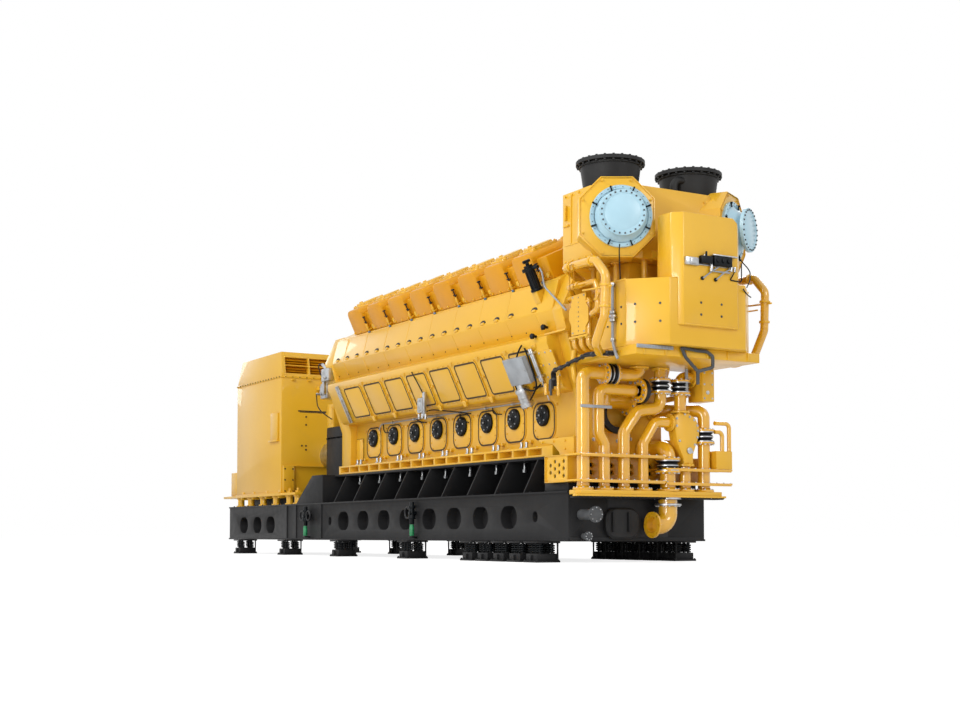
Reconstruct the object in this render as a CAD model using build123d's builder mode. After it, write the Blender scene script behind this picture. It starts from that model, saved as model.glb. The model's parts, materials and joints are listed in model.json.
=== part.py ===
"""Diesel generator set: a V16 engine and its alternator on one sprung base frame.

X runs along the crankshaft towards the free end with the turbochargers, Z is up,
and the origin is on the floor below the middle of the whole set. Left is the -Y side.
"""

import os
from math import cos, radians, sin

from build123d import *

# Engine layout
pitch = 700
cylinders = 8
bank_lean = 25
door_1_x = -1160
head_1_x = -1236
panel_1_x = -946
block_rear_x = -1825
block_margin = 803
block_front_x = block_rear_x + cylinders * pitch + block_margin

# Spring isolators
isolator_height = 251
isolator_length = 300
isolator_width = 336
isolator_y = 1030
isolator_singles_x = [-5291, -3219, -1094, 1193]
isolator_row = 5
isolator_row_pitch = 386.5
isolator_row_end = 540
isolator_plate = 22
isolator_housing_height = 105
spring_radius = 36
springs_along = 3
spring_pitch_x = 88
spring_pitch_y = 168
housing_inset_x = 30
housing_inset_y = 20

# Base frame
base_front_x = block_front_x + 497
base_rear_x = -6155
isolator_stations = isolator_singles_x + [
    base_front_x - isolator_row_end - i * isolator_row_pitch for i in range(isolator_row)
]
base_half_width = 1008
beam_top = 844
beam_width = 560
beam_flange = 24
flange_overhang = 18
pocket_length = 386
pocket_height = 286
pocket_depth = 150
pocket_z = 547
generator_pocket_z = 506
generator_pockets_x = [-5425, -4769, -4151]
small_pockets_x = [-1662, base_front_x - 723]
small_pocket_width = 110
small_pocket_height = 135
ribs_x = [-3400, -3005, -1979]
rib_thickness = 14
cross_depth = 180
cross_stations = [base_rear_x, -4000, -1900, 400, 2600, base_front_x - cross_depth]
step_foot_x = -3030
step_top_x = -2370
step_end_x = -1952

# Engine bed on the base frame
bed_top = 1290
bed_half_width = 800
bed_wall_y = 470
bed_plate = 34
bed_front_x = block_front_x - 38
riser_front_x = base_front_x - 85
riser_top = 947
gusset_thickness = 26

# Crankcase and its foot rails
foot_half_width = 780
foot_height = 130
foot_flange = 24
foot_pocket_depth = 170
foot_rib = 40
rail_front_end = block_front_x - 188
wall_y = 470
shelf_z = 2090
shelf_y = 700
panel_low_y = 748
panel_low_z = 2128
panel_high_y = 985
panel_high_z = 2636
shoulder_z = 2720
valley_z = 3413
valley_half_width = 60

# Crankcase doors and relief valves
door_width = 530
door_height = 500
door_z = 1774
door_thickness = 14
door_corner = 150
end_door_x = (-1800, -1560)
end_door_z = (1518, 1856)
valve_radius = 139
valve_thickness = 38
valve_z = 1843

# Cam cover panels
panel_length = 594
panel_height = 520
panel_thickness = 16
panel_corner = 60

# Gallery cover
gallery_low_z = 2800
gallery_fold_y = 910
gallery_fold_z = 3050
gallery_high_y = 812
gallery_high_z = 3425

# Exhaust lagging between the banks
lagging_height = 150
lagging_chamfer = 80
lagging_setback = 200

# Cylinder heads
deck_y = 784
deck_z = 3452
deck_depth = 640
cover_length = 470
cover_height = 360
head_height = 290
head_setback = 60
lean = radians(bank_lean)
deck_inner_y = deck_y - deck_depth * cos(lean)
deck_inner_z = deck_z + deck_depth * sin(lean)
lagging_half_width = valley_half_width + 1.16 * (deck_inner_y - valley_half_width)
lagging_low_z = deck_inner_z + 78
lagging_high_z = lagging_low_z + lagging_height

# Alternator
alternator_rear_x = -5875
alternator_front_x = -3757
alternator_half_width = 980
alternator_bottom = 1040
alternator_seam = 3046
alternator_top = 3485
hood_rear_lean = 180
hood_front_lean = 90
hood_side_lean = 30
louvre_bottom = 3112
louvre_height = 132
louvre_width = 425
louvre_pitch_y = 453
louvre_pitch_z = 146
louvre_depth = 260
end_box_rear_x = -6300
end_box_half_width = 930
end_box_top = 1480
rail_rear_x = -6457
rail_front_x = -3060
rail_thickness = 40
stub_radius = 60
stub_stations = [-5800, -5300, -4700, -4100, -3500, -3150]

# Coupling
guard_rear_x = -2810
guard_front_x = -2161
guard_half_width = 560
guard_top = 2110
shaft_z = 1700
shaft_radius = 260

# Turbocharger hood and outlets
hood_rear_x = block_front_x + 382
hood_front_x = block_front_x + 1252
hood_half_width = 1000
hood_waist = 480
hood_bottom = 3500
hood_top = 4345
exhaust_x = block_front_x + 763
exhaust_y = 581
exhaust_height = 359
exhaust_top = hood_top + exhaust_height
exhaust_flange_radius = 406
exhaust_flange = 42
exhaust_rim = 46
exhaust_neck_radius = exhaust_flange_radius - exhaust_rim
exhaust_foot_radius = exhaust_neck_radius - 45
exhaust_wall = 12
exhaust_gap = 0.3
exhaust_depth = exhaust_height - 139
exhaust_pcd = 2 * (exhaust_flange_radius - exhaust_rim / 2) + 2
exhaust_bolts = 12
exhaust_bolt_radius = 11
toe_out = 30
nose_x = block_front_x + 1264
nose_y = 851
nose_z = 3935
nose_half_width = 434
nose_half_height = 462
nose_cut = 250
nose_depth = 300
inlet_x = block_front_x + 1286
inlet_y = 813
ring_radius = 356
ring_thickness = 34
disc_radius = 262
disc_thickness = 34
disc_distance = 224
neck_radius = 140

# Charge-air cooler
cooler_front_x = block_front_x + 1829
cooler_rear_x = block_front_x + 982
cooler_bottom = 2440
cooler_top = 3190
cooler_half_front = 545
cooler_chamfer = 350
upper_rear_x = block_front_x + 1552
upper_front_x = block_front_x + 1879
upper_half_width = 490
upper_chamfer = 100
upper_bottom = 2660
upper_top = 3930
corner_cut_y = 160
corner_cut_z = 140
manifold_height = 110
manifold_rear_x = block_front_x + 502
manifold_front_x = block_front_x + 1672
manifold_half_width = 890

# Free-end housing and console
end_housing_length = 212
end_housing_x = block_front_x + end_housing_length
housing_low_y = 575
console_half_width = 480

# Free-end pipework
pipe_x = end_housing_x + 470
pipe_1_y = -926
pipe_2_y = -627
pipe_3_y = -345
pipe_4_y = -63
drain_y = 304
pipe_5_y = 564
pipe_6_y = 860
pipe_1_radius = 76
pipe_2_radius = 68
pipe_3_radius = 72
pipe_4_radius = 64
pipe_5_radius = 73
pipe_6_radius = 75
drain_radius = 112
mouth_y = 60
mouth_z = 448
mouth_rim = 24
mouth_rim_radius = 157
mouth_bore_radius = 100
mouth_depth = 84
mouth_pcd = 2 * mouth_rim_radius - 44
mouth_bolts = 8
mouth_bolt_radius = 9
foot_z = 800
foot_thickness = 50
foot_half_depth = 120
foot_half_width_y = 1041
foot_front_x = block_front_x + 822
shelf_half_width = 1100
shelf_thickness = 24
fit_gap = 0.3
bellows_length = 60
bellows_height = 32
left_tie_z = (950, 1250)
right_tie_z = (935, 1105)
right_tie_end_y = 1200
tie_thickness = 22
tie_front_x = block_front_x + 812
casting_left_y = 365
casting_top = 1800
casting_bottom = 1180
casting_half_depth = 75
oil_box_y = (700, 884)
oil_box_bottom = 1943

# Pipe loops beside the cooler
loop_y = 1160
loop_top = 3410
loop_radius = 50
inner_loop_y = 1010
inner_loop_radius = 34
inner_loop_top = 3220
inner_loop_low = 2850
filters_x = [end_housing_x + 270, end_housing_x + 415, end_housing_x + 560]
filter_y = 900
filter_radius = 36
filter_top = 3060
filter_low_z = 2490
bracket_z = 2900
bracket_thickness = 12
bracket_reach = 225

# Starting-air valve
start_x = block_front_x - 328
start_y = 905
start_z = 3325
start_radius = 57
start_height = 330
start_flange_radius = 92

# Perforated truss beam across the free end
truss_rear_x = bed_front_x + 50
truss_front_x = base_front_x
truss_half_width = base_half_width
truss_bottom = riser_top
truss_top = 1270
truss_hole_radius = 25
truss_hole_depth = 45
truss_hole_pitch_x = 93
truss_hole_pitch_z = 86
truss_window_radius = 30
truss_windows_y = [-681, -390, -109, 185]

# Small pipes beside the right end of the truss
auxiliary_x = block_front_x + 786
auxiliary_radius = 26
auxiliary_box_y = (950, 1200)
auxiliary_box_top = 1352
auxiliary_from_y = 945
auxiliary_bends = [(1172, 1690), (1062, 1585)]

# Bypass elbow from the hood into the right exhaust outlet
bypass_x = block_front_x + 963
bypass_y = 198
bypass_rise = 215
bypass_z = hood_top + bypass_rise
bypass_radius = 46
bypass_end_y = 400

os.makedirs("parts", exist_ok=True)


def save(part, name):
    """Label a finished piece and write it as its own STEP file."""
    part.label = name
    export_step(part, f"parts/{name}.step")


def mirrored(part):
    """The same piece on the other side of the crankshaft."""
    return mirror(part, about=Plane.XZ)


def save_pair(part, name):
    """Write a piece of the left side and its mirror image on the right side."""
    save(part, f"{name}_left")
    save(mirrored(part), f"{name}_right")


def save_both(parts, name):
    """Write like pieces of both sides as one node."""
    save(Compound(children=parts + [mirrored(part) for part in parts]), name)


def across(points, x_from, x_to):
    """A solid with one outline in the YZ plane, drawn out along the crankshaft."""
    with BuildPart() as piece:
        with BuildSketch(Plane.YZ.offset(x_from)):
            with BuildLine():
                Polyline(*points, close=True)
            make_face()
        extrude(amount=x_to - x_from)
    return piece.part


def block(x_range, y_range, z_range):
    """A plain plate or box between three pairs of limits."""
    with BuildPart() as piece:
        with BuildSketch(Plane.XY.offset(z_range[0])):
            with Locations(((x_range[0] + x_range[1]) / 2, (y_range[0] + y_range[1]) / 2)):
                Rectangle(x_range[1] - x_range[0], y_range[1] - y_range[0])
        extrude(amount=z_range[1] - z_range[0])
    return piece.part


def pipe(route, radius, bend):
    """A round pipe along straight runs joined by bends."""
    with BuildPart() as piece:
        with BuildLine():
            if bend:
                FilletPolyline(*route, radius=bend)
            else:
                Line(*route)
        with BuildSketch(Plane(origin=route[0], z_dir=Vector(route[1]) - Vector(route[0]))):
            Circle(radius)
        sweep()
    return piece.part


def sleeve(centre, direction, bore, height, length):
    """A ring slipped over a pipe, centred on a point of its axis."""
    middle = Plane(origin=centre, z_dir=direction)
    with BuildPart() as piece:
        with BuildSketch(middle.offset(-length / 2)):
            Circle(bore + height)
            Circle(bore + fit_gap, mode=Mode.SUBTRACT)
        extrude(amount=length)
    return piece.part


# Spring isolators under both long sides
def isolator(x):
    springs_top = isolator_height - isolator_plate
    with BuildPart() as piece:
        with BuildSketch(Plane.XY):
            with Locations((x, -isolator_y)):
                Rectangle(isolator_length, isolator_width)
        extrude(amount=isolator_plate)
        with BuildSketch(Plane.XY):
            with Locations((x, -isolator_y)):
                Rectangle(
                    isolator_length - 2 * housing_inset_x, isolator_width - 2 * housing_inset_y
                )
        extrude(amount=isolator_housing_height)
        with BuildSketch(Plane.XY.offset(isolator_housing_height)):
            with Locations((x, -isolator_y)):
                with GridLocations(spring_pitch_x, spring_pitch_y, springs_along, 2):
                    RegularPolygon(spring_radius, 8)
        extrude(amount=springs_top - isolator_housing_height)
        with BuildSketch(Plane.XY.offset(springs_top)):
            with Locations((x, -isolator_y)):
                Rectangle(isolator_length, isolator_width)
        extrude(amount=isolator_plate)
    return piece.part


save_pair(Compound(children=[isolator(x) for x in isolator_stations]), "spring_isolators")

# Side beams of the base frame, with obround access pockets in the outer web
outer_web = Plane.XZ.offset(base_half_width)
with BuildPart() as side_beam:
    add(block(
        (base_rear_x, base_front_x),
        (-base_half_width, -base_half_width + beam_width),
        (isolator_height, beam_top),
    ))
    for z in (isolator_height, beam_top - beam_flange):
        add(block(
            (base_rear_x, base_front_x),
            (-base_half_width - flange_overhang, -base_half_width + 1),
            (z, z + beam_flange),
        ))
    with BuildSketch(outer_web):
        for i in range(cylinders):
            with Locations((door_1_x + i * pitch, pocket_z)):
                SlotOverall(pocket_length, pocket_height)
        for x in generator_pockets_x:
            with Locations((x, generator_pocket_z)):
                SlotOverall(pocket_length, pocket_height)
        for x in small_pockets_x:
            with Locations((x, pocket_z)):
                SlotOverall(small_pocket_height, small_pocket_width, rotation=90)
    extrude(amount=-pocket_depth, mode=Mode.SUBTRACT)
    for x in ribs_x:
        add(block(
            (x, x + rib_thickness),
            (-base_half_width - flange_overhang, -base_half_width + 1),
            (isolator_height + beam_flange, beam_top - beam_flange),
        ))
save_pair(side_beam.part, "base_beam")

# Cross members between the side beams
inner_y = base_half_width - beam_width
crosses = [
    block((x, x + cross_depth), (-inner_y, inner_y), (isolator_height, beam_top))
    for x in cross_stations
]
save(Compound(children=crosses), "base_cross_members")

# Step from the low generator part up to the engine bed
with BuildPart() as step:
    with BuildSketch(Plane.XZ.offset(-base_half_width)):
        with BuildLine():
            Polyline(
                (step_foot_x, beam_top),
                (step_top_x, bed_top),
                (step_end_x, bed_top),
                (step_end_x, beam_top),
                close=True,
            )
        make_face()
    extrude(amount=2 * base_half_width)
save(step.part, "base_step")

# Engine bed with its overhanging top plate and the riser under the free end
with BuildPart() as bed:
    add(block(
        (step_end_x, bed_front_x), (-bed_wall_y, bed_wall_y), (beam_top, bed_top)
    ))
    add(block(
        (step_end_x, bed_front_x),
        (-bed_half_width, bed_half_width),
        (bed_top - bed_plate, bed_top),
    ))
    add(block(
        (bed_front_x - 60, riser_front_x), (-950, 950), (beam_top, riser_top)
    ))
save(bed.part, "engine_bed")


def gusset(x):
    """A web that carries the overhanging bed plate, wider at its foot."""
    top = bed_top - bed_plate
    outline = [
        (-bed_wall_y, beam_top),
        (-bed_wall_y, top),
        (-bed_half_width, top),
        (-base_half_width, beam_top),
    ]
    return across(outline, x - gusset_thickness / 2, x + gusset_thickness / 2)


gussets_x = [door_1_x - pitch / 2 + i * pitch for i in range(cylinders + 1)]
save_both([gusset(x) for x in gussets_x], "bed_gussets")

# Ribbed foot rails of the crankcase, which stand on the bed
rail_half_pitch = pitch / 2
with BuildPart() as rail:
    add(block(
        (block_rear_x, rail_front_end), (-foot_half_width, -wall_y), (bed_top, bed_top + foot_height)
    ))
    with BuildSketch(Plane.XZ.offset(foot_half_width)):
        count = int((rail_front_end - block_rear_x) / rail_half_pitch)
        for i in range(count):
            middle = block_rear_x + foot_rib + (i + 0.5) * rail_half_pitch
            with Locations((middle, bed_top + foot_height / 2)):
                Rectangle(rail_half_pitch - foot_rib, foot_height - 2 * foot_flange)
    extrude(amount=-foot_pocket_depth, mode=Mode.SUBTRACT)
save_both([rail.part], "foot_rails")

# Crankcase and cylinder banks in one casting
half = [
    (wall_y, bed_top),
    (wall_y, shelf_z),
    (shelf_y, shelf_z),
    (panel_low_y, panel_low_z),
    (panel_high_y, panel_high_z),
    (panel_high_y, shoulder_z),
    (deck_y, gallery_low_z),
    (deck_y, deck_z),
    (deck_inner_y, deck_inner_z),
    (valley_half_width, valley_z),
]
other_half = [(-y, z) for y, z in reversed(half)]
save(across(half + other_half, block_rear_x, block_front_x), "crankcase")


# Crankcase doors, each with a domed relief valve
def door(x):
    with BuildPart() as piece:
        with BuildSketch(Plane.XZ.offset(wall_y)):
            with Locations((x, door_z)):
                RectangleRounded(door_width, door_height, door_corner)
        extrude(amount=door_thickness)
    return piece.part


def relief_valve(x):
    seat = wall_y + door_thickness
    with BuildPart() as piece:
        with BuildSketch(Plane.XZ.offset(seat)):
            with Locations((x, valve_z)):
                Circle(valve_radius)
        extrude(amount=valve_thickness)
        chamfer(piece.faces().sort_by(Axis.Y)[0].edges(), 12)
    return piece.part


doors_x = [door_1_x + i * pitch for i in range(cylinders)]
end_door = block(end_door_x, (-wall_y - door_thickness, -wall_y), end_door_z)
save_both([door(x) for x in doors_x] + [end_door], "crankcase_doors")
save_both([relief_valve(x) for x in doors_x], "relief_valves")

# Cam cover panels on the undercut face of each bank
panel_plane = Plane(
    origin=(0, -(panel_low_y + panel_high_y) / 2, (panel_low_z + panel_high_z) / 2),
    x_dir=(1, 0, 0),
    z_dir=(0, -(panel_high_z - panel_low_z), -(panel_high_y - panel_low_y)),
)


def cam_panel(x):
    with BuildPart() as piece:
        with BuildSketch(panel_plane):
            with Locations((x, 0)):
                RectangleRounded(panel_length, panel_height, panel_corner)
        extrude(amount=panel_thickness)
    return piece.part


panels_x = [panel_1_x + i * pitch for i in range(cylinders)]
save_both([cam_panel(x) for x in panels_x], "cam_covers")

# Two-facet gallery cover along the outside of each bank
gallery_outline = [
    (-deck_y, gallery_low_z),
    (-deck_y, gallery_high_z),
    (-gallery_high_y, gallery_high_z),
    (-gallery_fold_y, gallery_fold_z),
]
save_both([across(gallery_outline, block_rear_x, block_front_x)], "gallery_covers")


# Cylinder heads and their covers, square to the bank
def bank_block(x_from, x_to, setback, depth, height):
    outer = Vector(0, -deck_y, deck_z)
    inward = Vector(0, cos(lean), sin(lean))
    upward = Vector(0, -sin(lean), cos(lean))
    corners = [
        outer + inward * setback,
        outer + inward * depth,
        outer + inward * depth + upward * height,
        outer + inward * setback + upward * height,
    ]
    return across([(c.Y, c.Z) for c in corners], x_from, x_to)


covers = []
heads = []
for i in range(cylinders):
    x = head_1_x + i * pitch
    cover = bank_block(x, x + cover_length, 0, deck_depth, cover_height)
    covers.append(cover)
    heads.append(bank_block(x + cover_length, x + pitch, head_setback, deck_depth - 40, head_height))
save_both(covers, "head_covers")
save_both(heads, "cylinder_heads")

# Exhaust lagging in the valley between the banks, on to the turbocharger hood
def lagging(foot_y, foot_z, x_from, x_to):
    side = [
        (foot_y, foot_z),
        (lagging_half_width, lagging_low_z),
        (lagging_half_width, lagging_high_z),
        (lagging_half_width - lagging_chamfer, lagging_high_z + lagging_chamfer),
    ]
    return across(side + [(-y, z) for y, z in reversed(side)], x_from, x_to)


with BuildPart() as lagging_run:
    add(lagging(valley_half_width, valley_z, block_rear_x + lagging_setback, block_front_x))
    add(lagging(lagging_half_width - lagging_chamfer, hood_bottom, block_front_x, hood_rear_x))
save(lagging_run.part, "exhaust_lagging")

# Alternator body, hood, feet and jacking stubs
save(
    block(
        (alternator_rear_x, alternator_front_x),
        (-alternator_half_width, alternator_half_width),
        (alternator_bottom, alternator_seam),
    ),
    "alternator_housing",
)
with BuildPart() as hood:
    with BuildSketch(Plane.XY.offset(alternator_seam)):
        with Locations(((alternator_rear_x + alternator_front_x) / 2, 0)):
            Rectangle(alternator_front_x - alternator_rear_x, 2 * alternator_half_width)
    top_rear_x = alternator_rear_x + hood_rear_lean
    top_front_x = alternator_front_x - hood_front_lean
    with BuildSketch(Plane.XY.offset(alternator_top)):
        with Locations(((top_rear_x + top_front_x) / 2, 0)):
            Rectangle(
                top_front_x - top_rear_x, 2 * (alternator_half_width - hood_side_lean)
            )
    loft()
    with BuildSketch(Plane.YZ.offset(alternator_front_x)):
        with Locations((0, louvre_bottom + louvre_height / 2 + louvre_pitch_z / 2)):
            with GridLocations(louvre_pitch_y, louvre_pitch_z, 4, 2):
                Rectangle(louvre_width, louvre_height)
    extrude(amount=-louvre_depth, mode=Mode.SUBTRACT)
save(hood.part, "alternator_hood")
save(
    block(
        (end_box_rear_x, alternator_rear_x),
        (-end_box_half_width, end_box_half_width),
        (alternator_bottom, end_box_top),
    ),
    "alternator_end_box",
)
alternator_rail = block(
    (rail_rear_x, rail_front_x),
    (-alternator_half_width - 40, -alternator_half_width + 260),
    (alternator_bottom - rail_thickness, alternator_bottom),
)
save_both([alternator_rail], "alternator_rails")
stubs = []
for x in stub_stations:
    with BuildPart() as stub:
        with BuildSketch(Plane.XY.offset(beam_top)):
            with Locations((x, -alternator_half_width + 60)):
                Circle(stub_radius)
        extrude(amount=alternator_bottom - rail_thickness - beam_top)
    stubs.append(stub.part)
save_both(stubs, "alternator_stubs")

# Coupling guard
save(
    block(
        (guard_rear_x, guard_front_x), (-guard_half_width, guard_half_width), (bed_top, guard_top)
    ),
    "coupling_guard",
)
housing_side = [
    (housing_low_y, bed_top),
    (housing_low_y, 1971),
    (765, 2520),
    (910, 3040),
    (700, hood_bottom),
]
housing_outline = housing_side + [(-y, z) for y, z in reversed(housing_side)]
save(across(housing_outline, guard_front_x, block_rear_x), "flywheel_housing")
with BuildPart() as shaft:
    with BuildSketch(Plane.YZ.offset(alternator_front_x)):
        with Locations((0, shaft_z)):
            Circle(shaft_radius)
    extrude(amount=guard_rear_x - alternator_front_x)
save(shaft.part, "alternator_shaft")

# Free-end housing and the console that carries the hood and the cooler
save(across(housing_outline, block_front_x, end_housing_x), "free_end_housing")
save(
    block(
        (end_housing_x, cooler_rear_x),
        (-console_half_width, console_half_width),
        (cooler_bottom, hood_bottom),
    ),
    "console",
)

# Turbocharger hood with two octagonal noses that toe out
toe = radians(toe_out)
nose_plane = Plane(
    origin=(nose_x, -nose_y, nose_z),
    x_dir=(sin(toe), cos(toe), 0),
    z_dir=(cos(toe), -sin(toe), 0),
)
with BuildPart() as nose:
    with BuildSketch(nose_plane):
        outline = Rectangle(2 * nose_half_width, 2 * nose_half_height)
        chamfer(outline.vertices(), nose_cut)
    extrude(amount=-nose_depth)
hood_setback = (hood_half_width - hood_waist) / cos(toe) * sin(toe)
hood_side = [
    (hood_rear_x, hood_half_width),
    (hood_front_x - hood_setback, hood_half_width),
    (hood_front_x, hood_waist),
]
with BuildPart() as turbo_hood:
    with BuildSketch(Plane.XY.offset(hood_bottom)):
        with BuildLine():
            Polyline(*hood_side, *[(x, -y) for x, y in reversed(hood_side)], close=True)
        make_face()
    extrude(amount=hood_top - hood_bottom)
    add(nose.part)
    add(mirrored(nose.part))
    with BuildSketch(Plane.XY.offset(hood_top)):
        with Locations((exhaust_x, -exhaust_y), (exhaust_x, exhaust_y)):
            Circle(exhaust_flange_radius)
    extrude(amount=exhaust_height, mode=Mode.SUBTRACT)
save(turbo_hood.part, "turbo_hood")

# Exhaust outlets, open at the top
neck_height = exhaust_height - exhaust_flange
flare = exhaust_neck_radius - exhaust_foot_radius
bore_foot = exhaust_height - exhaust_depth
bore_foot_radius = exhaust_foot_radius + flare * bore_foot / neck_height - exhaust_wall
outside = [
    (0, 0),
    (exhaust_foot_radius, 0),
    (exhaust_neck_radius, neck_height),
    (exhaust_flange_radius, neck_height),
    (exhaust_flange_radius, exhaust_height),
    (0, exhaust_height),
]
inside = [
    (0, bore_foot),
    (bore_foot_radius, bore_foot),
    (exhaust_neck_radius - exhaust_wall, exhaust_height),
    (0, exhaust_height),
]


def turned(outline, y):
    """A solid of revolution that stands on the hood."""
    with BuildPart() as piece:
        with BuildSketch(
            Plane(origin=(exhaust_x, y, hood_top), x_dir=(1, 0, 0), z_dir=(0, -1, 0))
        ):
            with BuildLine():
                Polyline(*outline, close=True)
            make_face()
        revolve(axis=Axis((exhaust_x, y, hood_top), (0, 0, 1)))
    return piece.part


def exhaust_outlet(y, extras):
    with BuildPart() as outlet:
        add(turned(outside, y))
        for extra in extras:
            add(extra)
        add(turned(inside, y), mode=Mode.SUBTRACT)
        with BuildSketch(Plane.XY.offset(exhaust_top)):
            with Locations((exhaust_x, y)):
                with PolarLocations(exhaust_pcd / 2, exhaust_bolts):
                    Circle(exhaust_bolt_radius)
        extrude(amount=-exhaust_flange, mode=Mode.SUBTRACT)
    return outlet.part


bypass = pipe(
    [
        (bypass_x, bypass_y, hood_top),
        (bypass_x, bypass_y, bypass_z),
        (bypass_x, bypass_end_y, bypass_z),
    ],
    bypass_radius,
    95,
)
save(exhaust_outlet(-exhaust_y, []), "exhaust_outlet_left")
save(exhaust_outlet(exhaust_y, [bypass]), "exhaust_outlet_right")

# Air inlets with a blank disc on a waisted neck
inlet_plane = Plane(
    origin=(inlet_x, -inlet_y, nose_z),
    x_dir=(sin(toe), cos(toe), 0),
    z_dir=(cos(toe), -sin(toe), 0),
)
with BuildPart() as inlet:
    with BuildSketch(inlet_plane):
        Circle(ring_radius)
    extrude(amount=ring_thickness)
    with BuildSketch(inlet_plane.offset(ring_thickness)):
        Circle(ring_radius - 60)
    with BuildSketch(inlet_plane.offset(disc_distance - disc_thickness)):
        Circle(neck_radius)
    loft()
    with BuildSketch(inlet_plane.offset(disc_distance - disc_thickness)):
        Circle(disc_radius)
    extrude(amount=disc_thickness)
save_pair(inlet.part, "air_inlet")

# Charge-air cooler: a wide lower casing and a narrow upper box in front
with BuildPart() as cooler:
    side_y = cooler_half_front + cooler_chamfer
    with BuildSketch(Plane.XY.offset(cooler_bottom)):
        with BuildLine():
            Polyline(
                (cooler_rear_x, -side_y),
                (cooler_front_x - cooler_chamfer, -side_y),
                (cooler_front_x, -cooler_half_front),
                (cooler_front_x, cooler_half_front),
                (cooler_front_x - cooler_chamfer, side_y),
                (cooler_rear_x, side_y),
                close=True,
            )
        make_face()
    extrude(amount=cooler_top - cooler_bottom)
save(cooler.part, "cooler_casing")
upper_side = [
    (upper_rear_x, upper_half_width),
    (upper_front_x - upper_chamfer, upper_half_width),
    (upper_front_x, upper_half_width - upper_chamfer),
]
with BuildPart() as upper_box:
    with BuildSketch(Plane.XY.offset(upper_bottom)):
        with BuildLine():
            Polyline(*upper_side, *[(x, -y) for x, y in reversed(upper_side)], close=True)
        make_face()
    extrude(amount=upper_top - upper_bottom)
    add(
        block(
            (upper_rear_x, cooler_front_x),
            (-upper_half_width, upper_half_width),
            (upper_bottom, cooler_top),
        ),
        mode=Mode.SUBTRACT,
    )
    with BuildSketch(Plane.YZ.offset(upper_rear_x)):
        with BuildLine():
            Polyline(
                (upper_half_width - corner_cut_y, upper_top),
                (upper_half_width, upper_top),
                (upper_half_width, upper_top - corner_cut_z),
                close=True,
            )
        make_face()
    extrude(amount=upper_front_x - upper_rear_x, mode=Mode.SUBTRACT)
save(upper_box.part, "cooler_upper_box")
save(
    block(
        (manifold_rear_x, manifold_front_x),
        (-manifold_half_width, manifold_half_width),
        (cooler_bottom - manifold_height, cooler_bottom),
    ),
    "cooler_manifold",
)

# Truss beam across the free end of the bed, with staggered holes in its ends
truss_middle_x = (truss_rear_x + truss_front_x) / 2
truss_middle_z = (truss_bottom + truss_top) / 2
with BuildPart() as truss:
    add(block(
        (truss_rear_x, truss_front_x),
        (-truss_half_width, truss_half_width),
        (truss_bottom, truss_top),
    ))
    for side in (Plane.XZ.offset(truss_half_width), Plane.XZ.offset(-truss_half_width)):
        inward = -truss_hole_depth if side.origin.Y < 0 else truss_hole_depth
        with BuildSketch(side):
            with Locations((truss_middle_x - truss_hole_pitch_x / 2, truss_middle_z)):
                with GridLocations(2 * truss_hole_pitch_x, truss_hole_pitch_z, 2, 2):
                    Circle(truss_hole_radius)
            with Locations((truss_middle_x + truss_hole_pitch_x / 2, truss_middle_z)):
                with GridLocations(2 * truss_hole_pitch_x, truss_hole_pitch_z, 2, 3):
                    Circle(truss_hole_radius)
        extrude(amount=inward, mode=Mode.SUBTRACT)
    with BuildSketch(Plane.YZ.offset(truss_front_x)):
        for y in truss_windows_y:
            with Locations((y, truss_middle_z)):
                with GridLocations(0, truss_hole_pitch_z, 1, 2):
                    Circle(truss_window_radius)
    extrude(amount=-truss_hole_depth, mode=Mode.SUBTRACT)
save(truss.part, "truss_beam")


# Shelf and foot plate that carry the free-end pipes
save(
    block(
        (base_front_x, foot_front_x),
        (-shelf_half_width, shelf_half_width),
        (foot_z - shelf_thickness, foot_z),
    ),
    "pipe_shelf",
)
foot_top = foot_z + foot_thickness
save(
    block(
        (pipe_x - foot_half_depth, pipe_x + foot_half_depth),
        (-foot_half_width_y, foot_half_width_y),
        (foot_z, foot_top),
    ),
    "pipe_foot_plate",
)

# Water pipes of the free end
manifold_bottom = cooler_bottom - manifold_height
water_routes = [
    (
        [
            (pipe_x, pipe_1_y, foot_top),
            (pipe_x, pipe_1_y, 2220),
            (pipe_x, -120, 2220),
            (pipe_x, -120, manifold_bottom),
        ],
        pipe_1_radius,
        95,
    ),
    (
        [
            (pipe_x, pipe_2_y, foot_top),
            (pipe_x, pipe_2_y, 1390),
            (pipe_x, pipe_2_y - 80, 1520),
            (pipe_x, pipe_2_y - 80, 2040),
            (pipe_x, -160, 2040),
            (end_housing_x, -160, 2040),
        ],
        pipe_2_radius,
        90,
    ),
    (
        [
            (pipe_x, pipe_3_y, foot_top),
            (pipe_x, pipe_3_y, 1540),
            (pipe_x, -150, 1800),
            (pipe_x, 198, 1850),
            (pipe_x, 198, manifold_bottom),
        ],
        pipe_3_radius,
        130,
    ),
    (
        [
            (pipe_x, pipe_4_y, foot_top),
            (pipe_x, pipe_4_y, 1420),
            (pipe_x, 110, 1680),
            (pipe_x, casting_left_y, 1680),
        ],
        pipe_4_radius,
        120,
    ),
]
save(
    Compound(children=[pipe(route, radius, bend) for route, radius, bend in water_routes]),
    "water_pipes",
)

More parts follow.
